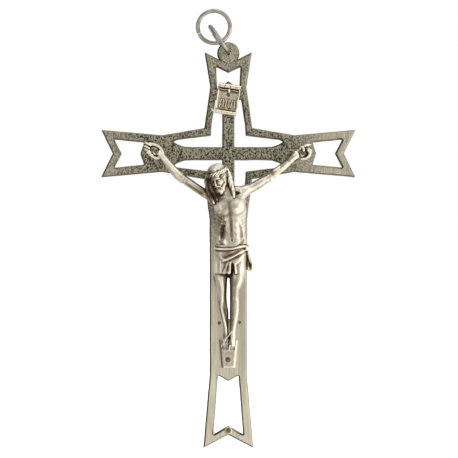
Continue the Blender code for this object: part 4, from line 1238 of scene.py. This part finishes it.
def wavy(loop, step, amount, seed):
    """Long straight runs broken up, with the slight unevenness of a casting."""
    points = []
    rng = np.random.default_rng(seed)
    for i, a in enumerate(loop):
        b = loop[(i + 1) % len(loop)]
        points.append(a)
        length = math.hypot(b[0] - a[0], b[1] - a[1])
        count = int(length / step)
        if count < 2:
            continue
        dx, dz = (b[0] - a[0]) / length, (b[1] - a[1]) / length
        for k in range(1, count):
            t = k / count
            error = float(rng.normal(0, amount))
            points.append((a[0] + (b[0] - a[0]) * t - dz * error,
                           a[1] + (b[1] - a[1]) * t + dx * error, None))
    return points


def strip(first, second):
    """The quads between two closed rings."""
    return zip(first, first[1:] + first[:1], second[1:] + second[:1], second)


def rim(bm, ring):
    return [bm.edges.get(pair) for pair in zip(ring, ring[1:] + ring[:1])]


def smooth_mesh(name, bm):
    bmesh.ops.recalc_face_normals(bm, faces=bm.faces[:])
    mesh = bpy.data.meshes.new(name)
    bm.to_mesh(mesh)
    bm.free()
    mesh.shade_smooth()
    return mesh


def plate_piece(name, loops):
    """A flat casting: each loop is swept along its profile, and the faces are filled."""
    bm = bmesh.new()
    normals = {}

    def add_ring(outline, y, inward, facing):
        ring = []
        for (x, z), (nx, nz) in zip(*outline):
            vert = bm.verts.new((x * METRES, y * METRES, z * METRES))
            normals[vert] = Vector((nx * inward, facing, nz * inward)).normalized()
            ring.append(vert)
        return ring

    def sink(rings):
        for first, second in zip(rings, rings[1:]):
            for quad in strip(first, second):
                bm.faces.new(quad)

    def fill(edges, facing):
        bmesh.ops.triangle_fill(bm, use_beauty=True, edges=edges, normal=(0, facing, 0))

    back, front = [], []
    for loop, profile in loops:
        rings = [add_ring(rounded_loop(loop, dist), y, *normal)
                 for (dist, y), normal in zip(profile, profile_normals(profile))]
        for first, second in zip(rings, rings[1:]):
            for a, a_next, b_next, b in strip(first, second):
                bm.faces.new((a, b, b_next, a_next))
        back += rim(bm, rings[0])
        front += rim(bm, rings[-1])
    for x, z, radius, _ in PITS:
        rings = []
        # share of the radius, depth, and the normal's inward and y parts
        for share, depth, inward, facing in ((1.00, 0.0, 0.0, -1.0), (0.93, 0.06, -0.7, -0.7),
                                             (0.86, 0.60 * 0.6, -1.0, -0.1),
                                             (0.60, 0.60, -0.4, -0.9)):
            angles = [2 * math.pi * k / PIT_SIDES for k in range(PIT_SIDES)]
            rays = [(math.cos(a), math.sin(a)) for a in angles]
            points = [(x + radius * share * cos, z + radius * share * sin) for cos, sin in rays]
            rings.append(add_ring((points, rays), FRONT + depth, inward, facing))
        sink(rings)
        bm.faces.new(rings[-1])
        front += rim(bm, rings[0])
    rings = [add_ring(rounded_loop(CREASE, dist), FRONT + depth, inward, facing)
             for dist, depth, inward, facing in (
                 (0.0, 0.0, 0.3, -0.95), (0.03, 0.03, 0.8, -0.6),
                 (0.05, CREASE_DEPTH * 0.8, 0.9, -0.4), (0.065, CREASE_DEPTH, 0.3, -0.95))]
    sink(rings)
    front += rim(bm, rings[0])
    fill(rim(bm, rings[-1]), -1)
    fill(back, 1)
    fill(front, -1)
    ordered = [normals[vert] for vert in bm.verts]
    mesh = smooth_mesh(name, bm)
    mesh.normals_split_custom_set_from_vertices(ordered)
    return link_object(name, mesh)


def build_plate():
    """The openwork plate with its lug, openings, slot, bore and nail holes."""
    foot_x, foot_z = LUG_FOOT
    start = math.degrees(math.atan2(foot_z - LUG_Z, foot_x))
    lug = arc(0.0, LUG_Z, LUG_RADIUS, start, 180.0 - start, 40)
    for end in (0, -1):
        lug[end] = (*lug[end][:2], 0.10)
    outline = [(0.0, -78.30, 0.12)] + RIGHT_EDGE + lug + mirror_x(RIGHT_EDGE)
    openings = (TOP_OPENING, SIDE_OPENING, mirror_x(SIDE_OPENING), FOOT_OPENING,
                CORNER_OPENING, mirror_x(CORNER_OPENING), mirror_z(CORNER_OPENING),
                mirror_x(mirror_z(CORNER_OPENING)))
    slot = arc(0.0, -22.15, 1.25, 0.0, 180.0, 16) + arc(0.0, -44.85, 1.25, 180.0, 360.0, 16)
    loops = [(wavy(outline, 1.6, 0.018, 5), soft_profile(0.42, 0.48))]
    for k, opening in enumerate(openings):
        loops.append((wavy(opening[::-1], 1.5, 0.022, 20 + k), soft_profile(0.42, 0.95)))
    loops.append((slot[::-1], soft_profile(0.12, 0.16)))
    loops.append((circle(0.0, LUG_Z, 0.70, 40), soft_profile(0.10, 0.14)))
    for nail in NAILS:
        low, high = mm_box(nail)
        x, _, z = (low + high) / 2
        loops.append((circle(x, z, 0.62, 28), NAIL_WALL))
    return plate_piece("plate_casting", loops)


# ============================================================================
# boss, nails and rings
# ============================================================================
def ringed_object(name, rings, sharp_angle):
    """A closed piece through rings of points, already in metres."""
    bm = bmesh.new()
    verts = [[bm.verts.new(point) for point in ring] for ring in rings]
    for first, second in zip(verts, verts[1:]):
        for quad in strip(first, second):
            bm.faces.new(quad)
    bm.faces.new(verts[0])
    bm.faces.new(verts[-1][::-1])
    mesh = smooth_mesh(name, bm)
    mesh.set_sharp_from_angle(angle=math.radians(sharp_angle))
    return link_object(name, mesh)


def lathe(name, axis, profile, count, wobble, seed):
    """A turned piece along Y from (radius, y) points, a little hand-struck."""
    x, z = axis
    phases = np.random.default_rng(seed).uniform(0, 6.28, 3)
    rings = []
    for radius, y in profile:
        ring = []
        for k in range(count):
            angle = 2 * math.pi * k / count
            uneven = radius * (1 + wobble * (math.sin(2 * angle + phases[0]) * 0.6
                                             + math.sin(3 * angle + phases[1]) * 0.4))
            ring.append(((x + uneven * math.cos(angle)) * METRES, y * METRES,
                         (z + uneven * math.sin(angle)) * METRES))
        rings.append(ring)
    return ringed_object(name, rings, 48)


def build_boss():
    """The low round boss on the foot of the plate, dished inside a rim."""
    profile = paths("""0.03 -2.1, 0.22 -2.09, 0.4 -2.03, 0.52 -2.02, 0.62 -2.08, 0.72 -2.24,
        0.82 -2.34, 0.93 -2.35, 1.03 -2.31, 1.09 -2.22, 1.1 -2.1, 1.1 -1.25, 0.9 -1.15""")[0]
    return lathe("plate_boss", (0.0, BOSS_Z), profile, count=48, wobble=0.012, seed=5)


def build_nail(node, seed):
    """A nail with a domed head, its tail spread in the plate's countersink."""
    low, high = mm_box(node)
    x, _, z = (low + high) / 2
    front = low[1]
    seat = front + 0.35
    profile = [(0.03, front), (0.20, front + 0.015), (0.38, front + 0.07), (0.52, front + 0.16),
               (0.60, front + 0.27), (0.61, front + 0.33), (0.57, seat + 0.02),
               (0.45, seat + 0.03), (0.45, -0.56), (0.50, -0.48), (0.74, -0.10),
               (0.72, -0.06), (0.60, -0.055)]
    return lathe(node + "_turned", (x, z), profile, count=36, wobble=0.05, seed=seed)


RING_RADIUS, WIRE_RADIUS = 4.49, 0.57


def build_ring(name, centre, side, up, seam):
    """A bent wire ring whose two cut ends nearly meet at the seam angle."""
    centre, side, up, seam = Vector(centre), Vector(side), Vector(up), math.radians(seam)
    normal = side.cross(up)
    gap = math.radians(3.0)
    major, minor = 160, 28
    rings = []
    for i in range(major + 1):
        t = i / major
        angle = seam + gap / 2 + (2 * math.pi - gap) * t
        radial = side * math.cos(angle) + up * math.sin(angle)
        # the wire narrows a trifle at its sheared ends, and one sits slightly proud
        end = min(t, 1 - t) * major
        wire = WIRE_RADIUS * (1.0 - 0.10 * math.exp(-end / 1.3))
        lift = 0.06 * math.exp(-end / 5.0) * (1 if t < 0.5 else -1)
        middle = centre + radial * RING_RADIUS + normal * lift
        turns = [2 * math.pi * j / minor for j in range(minor)]
        rings.append([(middle + (radial * math.cos(turn) + normal * math.sin(turn)) * wire)
                      * METRES for turn in turns])
    return ringed_object(name, rings, 50)


# ============================================================================
# materials
# ============================================================================
class Graph:
    """A helper for node trees."""

    def __init__(self, tree):
        self.tree = tree
        tree.nodes.clear()

    def link(self, value, target):
        if value is None:
            return
        if isinstance(value, (int, float)):
            target.default_value = value
        elif isinstance(value, tuple):
            four = len(value) == 3 and len(target.default_value) == 4
            target.default_value = (*value, 1.0) if four else value
        else:
            self.tree.links.new(value, target)

    def node(self, kind, inputs=None, **settings):
        node = self.tree.nodes.new("ShaderNode" + kind)
        for key, setting in settings.items():
            setattr(node, key, setting)
        for key, value in (inputs or {}).items():
            self.link(value, node.inputs[key])
        return node

    def math(self, operation, first, second=0.0, clamp=False):
        return self.node("Math", {0: first, 1: second}, operation=operation,
                         use_clamp=clamp).outputs[0]

    def remap(self, value, source, target=(0.0, 1.0), smooth=True):
        """Carry the source range onto the target range."""
        return self.node("MapRange", {
            "Value": value, "From Min": source[0], "From Max": source[1],
            "To Min": target[0], "To Max": target[1],
        }, interpolation_type="SMOOTHSTEP" if smooth else "LINEAR").outputs[0]

    def separate(self, vector):
        return self.node("SeparateXYZ", {0: vector}).outputs


class Metal(Graph):
    """A material with one principled shader and object coordinates in millimetres."""

    def __init__(self, name):
        self.material = bpy.data.materials.new(name)
        self.material.use_nodes = True
        super().__init__(self.material.node_tree)
        self.out = self.node("OutputMaterial")
        self.shader = self.node("BsdfPrincipled")
        self.link(self.shader.outputs[0], self.out.inputs[0])
        coord = self.node("TexCoord")
        self.place = self.node("VectorMath", {0: coord.outputs["Object"], "Scale": 1000.0},
                               operation="SCALE").outputs[0]

    def attribute(self, name):
        return self.node("Attribute", attribute_name=name).outputs["Fac"]

    def stretch(self, *scales):
        return self.node("VectorMath", {0: self.place, 1: scales},
                         operation="MULTIPLY").outputs[0]

    def noise(self, scale, detail=3.0, rough=0.55, vector=None):
        return self.node("TexNoise", {"Vector": vector or self.place, "Scale": scale,
                                      "Detail": detail, "Roughness": rough}).outputs["Fac"]

    def swing(self, noise, amount):
        """Noise made to vary about nought."""
        return self.math("MULTIPLY", self.math("SUBTRACT", noise, 0.5), amount)

    def axis(self, i):
        return self.separate(self.place)[i]

    def radius(self, dx, dz):
        return self.math("SQRT", self.math("ADD", self.math("MULTIPLY", dx, dx),
                                           self.math("MULTIPLY", dz, dz)))

    def mix(self, factor, first, second):
        return self.node("Mix", {0: factor, 6: first, 7: second}, data_type="RGBA").outputs[2]

    def lerp(self, factor, first, second):
        return self.node("Mix", {0: factor, 2: first, 3: second}, data_type="FLOAT").outputs[0]

    def bump(self, height, strength, distance, normal=None):
        return self.node("Bump", {"Strength": strength, "Distance": distance * METRES,
                                  "Height": height, "Normal": normal}).outputs[0]

    def finish(self, colour, rough, metallic=1.0, normal=None):
        for key, value in (("Base Color", colour), ("Roughness", rough),
                           ("Metallic", metallic), ("Normal", normal)):
            self.link(value, self.shader.inputs[key])
        return self.material


def plate_material():
    """The upper part is dark and sandy, the shaft and foot light and brushed."""
    net = Metal("antique_plate")
    z, x = net.axis(2), net.axis(0)
    # how sandy: more upwards, less towards the arm ends and the lug
    up = net.remap(z, (-40.0, -4.0))
    side = net.math("ADD", net.remap(x, (10.0, 32.0), (0.0, 0.58)),
                    net.remap(x, (-22.0, -34.0), (0.0, 0.30)))
    lift = net.remap(z, (12.0, 27.0), (0.0, 0.27))
    drift = net.noise(scale=0.09, detail=2.0)
    grainy = net.math("SUBTRACT", net.math("ADD", up, net.swing(drift, 0.35)), side)
    grainy = net.math("SUBTRACT", grainy, lift, clamp=True)
    # the sand's pits, and brush marks drawn out along z
    speck = net.noise(scale=2.45, rough=0.62, vector=net.stretch(1.15, 1.15, 0.80))
    fine = net.noise(scale=6.0, detail=2.0, rough=0.6)
    pits = net.remap(net.math("ADD", net.math("MULTIPLY", speck, 0.78),
                              net.math("MULTIPLY", fine, 0.22)), (0.425, 0.585))
    brush = net.noise(scale=1.0, rough=0.6, vector=net.stretch(2.6, 2.6, 0.10))
    broad = net.noise(scale=1.0, detail=2.0, rough=0.5, vector=net.stretch(0.7, 0.7, 0.05))
    light = net.mix(net.remap(brush, (0.35, 0.68)), (0.60, 0.545, 0.43), (0.82, 0.755, 0.61))
    light = net.mix(net.remap(broad, (0.35, 0.7), (0.0, 0.45)), light, (0.68, 0.605, 0.475))
    dark = net.mix(pits, (0.032, 0.027, 0.016), (0.42, 0.385, 0.285))
    # a warm flush down the shaft's right edge
    flush = net.math("MULTIPLY", net.remap(x, (1.8, 4.2)),
                     net.math("MULTIPLY", net.remap(z, (-72.0, -58.0)),
                              net.remap(z, (-18.0, -30.0))))
    light = net.mix(net.math("MULTIPLY", flush, 0.55), light, (0.50, 0.435, 0.355))
    colour = net.mix(grainy, light, dark)
    # painted shade: darker on bevels and walls, most where they face down or left, away from the
    # light
    facing = net.separate(net.node("NewGeometry").outputs["Normal"])
    flat = net.math("ABSOLUTE", facing[1])
    colour = net.mix(net.remap(flat, (0.93, 0.55), (0.0, 0.80)), colour, (0.27, 0.245, 0.19))
    colour = net.mix(net.remap(facing[2], (-0.30, -0.70), (0.0, 0.65)), colour,
                     (0.13, 0.115, 0.085))
    colour = net.mix(net.remap(facing[0], (-0.10, -0.40), (0.0, 0.90)), colour,
                     (0.085, 0.075, 0.050))
    # painted shade inside the pits
    for pit_x, pit_z, _, narrow in PITS:
        dx = net.math("MULTIPLY", net.math("SUBTRACT", x, pit_x), narrow)
        away = net.radius(dx, net.math("SUBTRACT", z, pit_z))
        colour = net.mix(net.remap(away, (0.62, 0.30), (0.0, 0.72)), colour, (0.12, 0.095, 0.06))
    rough = net.lerp(grainy, net.remap(brush, (0.3, 0.7), (0.30, 0.46)),
                     net.remap(pits, (0.0, 1.0), (0.60, 0.34)))
    relief = net.bump(pits, strength=0.55, distance=0.05)
    # the pits stand out more where the plate is sandy
    net.link(net.lerp(grainy, 0.12, 0.75), relief.node.inputs["Strength"])
    relief = net.bump(brush, strength=0.25, distance=0.02, normal=relief)
    return net.finish(colour, rough, normal=relief)


def boss_material():
    """The rim is painted bright, most on the right; the dish and side carry painted shade."""
    net = Metal("antique_boss_painted_light")
    away = net.radius(net.axis(0), net.math("SUBTRACT", net.axis(2), BOSS_Z))
    away = net.math("ADD", away, net.swing(net.noise(scale=2.4, detail=2.0, rough=0.5), 0.35))
    fine = net.noise(scale=6.0, detail=2.0, rough=0.6)
    # painted light: the rim lighter on the right, darker on the left
    edge = net.mix(net.remap(net.axis(0), (-0.9, 0.6)), (0.34, 0.32, 0.25), (0.78, 0.72, 0.60))
    # painted shade in the dish
    colour = net.mix(net.remap(away, (0.80, 0.55)), edge, (0.17, 0.155, 0.095))
    # painted shade on the side of the boss
    colour = net.mix(net.remap(away, (1.04, 1.13)), colour, (0.20, 0.18, 0.13))
    rough = net.math("ADD", net.math("MULTIPLY", fine, 0.2), 0.32)
    return net.finish(colour, rough, normal=net.bump(fine, strength=0.3, distance=0.03))


# Silver from polished ridges down to blackened recesses
BRIGHT = (0.86, 0.80, 0.685)
GREY = (0.58, 0.535, 0.44)
DULL = (0.275, 0.222, 0.155)
BLACK = (0.066, 0.048, 0.029)


def cast_material(name, tone, rough_low, rough_high, patina, grain, mottle, warm):
    """Antique silver relief: black in the recesses, grey on the flats, polished on ridges."""
    net = Metal(name)
    recess, groove, ridge, dull_and_painted_light = map(net.attribute, ("recess", "groove", "ridge", "dull_and_painted_light"))
    mottled = net.noise(scale=1.1, rough=0.6)
    small = net.noise(scale=3.4, rough=0.6)
    wander = net.math("ADD", net.swing(mottled, 0.50 * mottle), net.swing(small, 0.35 * mottle))
    # how blackened
    deep = net.math("ADD", net.remap(recess, (0.16, 0.60), smooth=False),
                    net.remap(groove, (0.15, 0.75), (0.0, 0.65), smooth=False))
    deep = net.math("ADD", deep, net.remap(ridge, (0.02, -0.16), (0.0, 0.55), smooth=False))
    # the tarnish layer adds tarnish and painted shade; its negative spots, painted highlights, take
    # blackening away
    deep = net.math("ADD", deep, net.math("MULTIPLY", dull_and_painted_light, 0.85))
    deep = net.math("ADD", deep, wander)
    deep = net.math("SUBTRACT", deep,
                    net.remap(ridge, (0.06, 0.30), (0.0, 0.45), smooth=False))
    deep = net.math("MULTIPLY", deep, patina, clamp=True)
    # how polished; painted highlights in the tarnish layer raise it, tarnish and painted shade lower
    # it
    proud = net.math("SUBTRACT", net.math("ADD", ridge, net.math("MULTIPLY", wander, 0.10)),
                     net.math("MULTIPLY", dull_and_painted_light, 0.30))
    bright, grey, dim = (tuple(c * tone * w for c, w in zip(colour, warm))
                         for colour in (BRIGHT, GREY, DULL))
    colour = net.mix(net.remap(proud, (0.0, 0.20)), grey, bright)
    colour = net.mix(net.remap(deep, (0.02, 0.42)), colour, dim)
    colour = net.mix(net.remap(deep, (0.38, 0.95)), colour, BLACK)
    fine = net.noise(scale=7.0, rough=0.6)
    rough = net.math("ADD", net.lerp(deep, rough_low, 0.60),
                     net.swing(fine, rough_high - rough_low))
    relief = net.bump(net.noise(scale=1.7), strength=grain, distance=0.05)
    relief = net.bump(fine, strength=grain * 0.6, distance=0.012, normal=relief)
    return net.finish(colour, rough, normal=relief)


def wire_material():
    net = Metal("drawn_wire")
    wear = net.noise(scale=0.5, detail=2.0, rough=0.5)
    fine = net.noise(scale=6.0, detail=2.0, rough=0.5)
    colour = net.mix(net.remap(wear, (0.35, 0.70)), (0.30, 0.285, 0.24), (0.47, 0.445, 0.39))
    rough = net.math("ADD", net.remap(wear, (0.3, 0.7), (0.36, 0.24)), net.swing(fine, 0.15))
    return net.finish(colour, rough, normal=net.bump(fine, strength=0.25, distance=0.015))


def nail_material():
    net = Metal("nail_metal")
    speck = net.noise(scale=4.0, rough=0.6)
    colour = net.mix(net.remap(speck, (0.35, 0.65)), (0.045, 0.037, 0.026), (0.26, 0.235, 0.19))
    rough = net.remap(speck, (0.3, 0.7), (0.55, 0.32))
    return net.finish(colour, rough, normal=net.bump(speck, strength=0.4, distance=0.03))


def floor_material():
    """Glowing white to the camera from above, clear from below and to every other ray."""
    net = Metal("studio_floor")
    tone = net.noise(scale=0.004, detail=2.0, rough=0.5)
    colour = net.mix(net.remap(tone, (0.3, 0.7)), (0.93, 0.93, 0.925), (0.95, 0.95, 0.945))
    material = net.finish(colour, 0.85, metallic=0.0)
    geometry = net.node("NewGeometry")
    clear = net.node("BsdfTransparent")
    glow = net.node("Emission", {"Color": (1, 1, 1, 1), "Strength": 0.90})
    lit = net.node("AddShader", {0: net.shader.outputs[0], 1: glow.outputs[0]})
    seen = net.node("LightPath").outputs["Is Camera Ray"]
    hidden = net.math("MAXIMUM", geometry.outputs["Backfacing"],
                      net.math("SUBTRACT", 1.0, seen))
    shown = net.node("MixShader", {0: hidden, 1: lit.outputs[0], 2: clear.outputs[0]})
    net.link(shown.outputs[0], net.out.inputs[0])
    return material


# ============================================================================
# the object
# ============================================================================
def fit(obj, material, parent, replaced=None):
    obj.data.materials.append(material)
    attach(obj, parent)
    if replaced:
        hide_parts(replaced)


fit(build_plate(), plate_material(), "cross", "cross_plate")
fit(build_boss(), boss_material(), "cross")

low, high = mm_box("corpus")
corpus = sculpt_object("corpus_casting", build_corpus(), low - 0.9,
                       np.minimum(high + 0.9, (99, FRONT - 0.05, 99)),
                       0.125, figure_tarnish_and_painted_light)
fit(corpus, cast_material("antique_figure", tone=1.0, rough_low=0.33, rough_high=0.50,
                          patina=1.0, grain=0.30, mottle=1.0, warm=(1.0, 1.0, 1.0)),
    "cross", "corpus")

# the scroll, tilted as its solid is
scroll = sculpt_object("scroll_casting", build_scroll(), (-4.4, -1.8, -4.6), (3.6, 0.0, 4.6),
                       0.08, scroll_tarnish_and_shadow)
tilt = Matrix.Rotation(math.radians(9.0), 4, "Y")
scroll.data.transform(Matrix.Translation(Vector((-0.17, FRONT, 15.02)) * METRES) @ tilt)
fit(scroll, cast_material("antique_scroll", tone=0.96, rough_low=0.36, rough_high=0.52,
                          patina=0.9, grain=0.8, mottle=2.6, warm=(1.035, 0.985, 0.945)),
    "cross", "title_scroll")

low, high = mm_box("footrest")
rest = sculpt_object("footrest_casting", build_footrest(), low - 0.2, high + 0.2,
                     0.085, footrest_painted_light)
fit(rest, cast_material("antique_footrest", tone=1.22, rough_low=0.40, rough_high=0.56,
                        patina=0.36, grain=0.8, mottle=1.4, warm=(1.0, 1.0, 1.02)),
    "cross", "footrest")

nail_metal = nail_material()
for i, node in enumerate(NAILS):
    fit(build_nail(node, 11 + i), nail_metal, "cross", node)

# the link stands edge on through the lug and leans; the hanger is parallel to the plate
wire = wire_material()
lean = Vector((-math.sin(math.radians(34.3)), 0.0, math.cos(math.radians(34.3))))
link_centre = Vector((0.0, -1.0, LUG_Z)) + lean * RING_RADIUS
fit(build_ring("link_wire", link_centre, (0, 1, 0), lean, seam=40.0),
    wire, "link", "link_ring")
fit(build_ring("hanging_wire", (-4.00, -1.0, 35.28), (1, 0, 0), (0, 0, 1), seam=204.0),
    wire, "hanger", "hanging_ring")

# ============================================================================
# studio, in metres
# ============================================================================
FLOOR_HALF, FLOOR_Z = 30.0, -0.26
CENTRE = (0.0, 0.0, -0.02)               # what the lights aim at

scene = bpy.context.scene
scene.view_settings.view_transform = "Standard"
scene.view_settings.look = "None"
scene.view_settings.exposure = 0.0
scene.view_settings.gamma = 1.0


def build_floor():
    mesh = bpy.data.meshes.new("studio_floor")
    corners = [(x * FLOOR_HALF, y * FLOOR_HALF, 0)
               for x, y in ((-1, -1), (1, -1), (1, 1), (-1, 1))]
    mesh.from_pydata(corners, [], [(0, 1, 2, 3)])
    floor = link_object("studio_floor", mesh)
    floor.location = (0, 0, FLOOR_Z)
    mesh.materials.append(floor_material())


def build_world():
    """Plain white to the camera; a room brighter at the right and below for all else."""
    world = bpy.data.worlds.new("studio")
    scene.world = world
    world.use_nodes = True
    net = Graph(world.node_tree)
    out = net.node("OutputWorld")
    path = net.node("LightPath")
    plain = net.node("Background", {"Color": (1, 1, 1, 1), "Strength": 1.0})
    room = net.node("Background", {"Strength": 2.1})
    direction = net.separate(net.node("TexCoord").outputs["Generated"])

    def ramp(value, *stops):
        """Colours at positions from one side (0) to the other (1)."""
        node = net.node("ValToRGB", {0: net.remap(value, (-1.0, 1.0), smooth=False)})
        elements = node.color_ramp.elements
        for element, (position, colour) in zip(elements, (stops[0], stops[-1])):
            element.position = position
            element.color = (*colour, 1)
        for position, colour in stops[1:-1]:
            elements.new(position).color = (*colour, 1)
        return node.outputs[0]

    height = ramp(direction[2], (0.0, (0.72, 0.71, 0.68)),
                  *((position, (v, v * 0.985, v * 0.955)) for position, v in (
                      (0.25, 0.82), (0.40, 0.72), (0.50, 0.54), (0.60, 0.42), (0.80, 0.50))),
                  (1.0, (0.66, 0.66, 0.66)))
    across = ramp(direction[0], *((position, (v, v, v)) for position, v in (
        (0.0, 0.46), (0.15, 0.48), (0.35, 0.54), (0.50, 0.60), (0.75, 0.78), (1.0, 1.0))))
    both = net.node("Mix", {0: 1.0, 6: height, 7: across}, data_type="RGBA",
                    blend_type="MULTIPLY")
    net.link(both.outputs[2], room.inputs["Color"])
    shown = net.node("MixShader", {0: path.outputs["Is Camera Ray"], 1: room.outputs[0],
                                   2: plain.outputs[0]})
    net.link(shown.outputs[0], out.inputs[0])


def area_light(name, location, size, power, colour=(1, 1, 1), height=None):
    """A light aimed at the centre, square unless it has a height of its own."""
    light = bpy.data.lights.new(name, "AREA")
    light.energy = power
    light.color = colour
    if height is not None:
        light.shape = "RECTANGLE"
        light.size_y = height
    light.size = size
    obj = link_object(name, light)
    obj.location = location
    aim_line = Vector(CENTRE) - Vector(location)
    obj.rotation_euler = aim_line.to_track_quat("-Z", "Y").to_euler()


def build_camera():
    data = bpy.data.cameras.new("camera")
    data.sensor_width = 36.0
    data.lens = 137.7
    data.clip_start, data.clip_end = 0.01, 60.0
    camera = link_object("camera", data)
    camera.location = (0.0002, -0.489, -0.02099)
    camera.rotation_euler = (math.radians(90.0), 0.0, 0.0)
    scene.camera = camera


build_floor()
build_world()
area_light("soft_left", (-0.40, -0.52, 0.10), size=0.20, power=0.52,
           colour=(0.98, 0.995, 1.0), height=0.7)
area_light("soft_right", (0.54, -0.38, 0.0), size=0.46, power=1.28,
           colour=(1.0, 0.985, 0.955), height=1.2)
area_light("soft_top", (0.0, -0.25, 0.60), size=0.45, power=0.60)
build_camera()

bpy.context.view_layer.update()
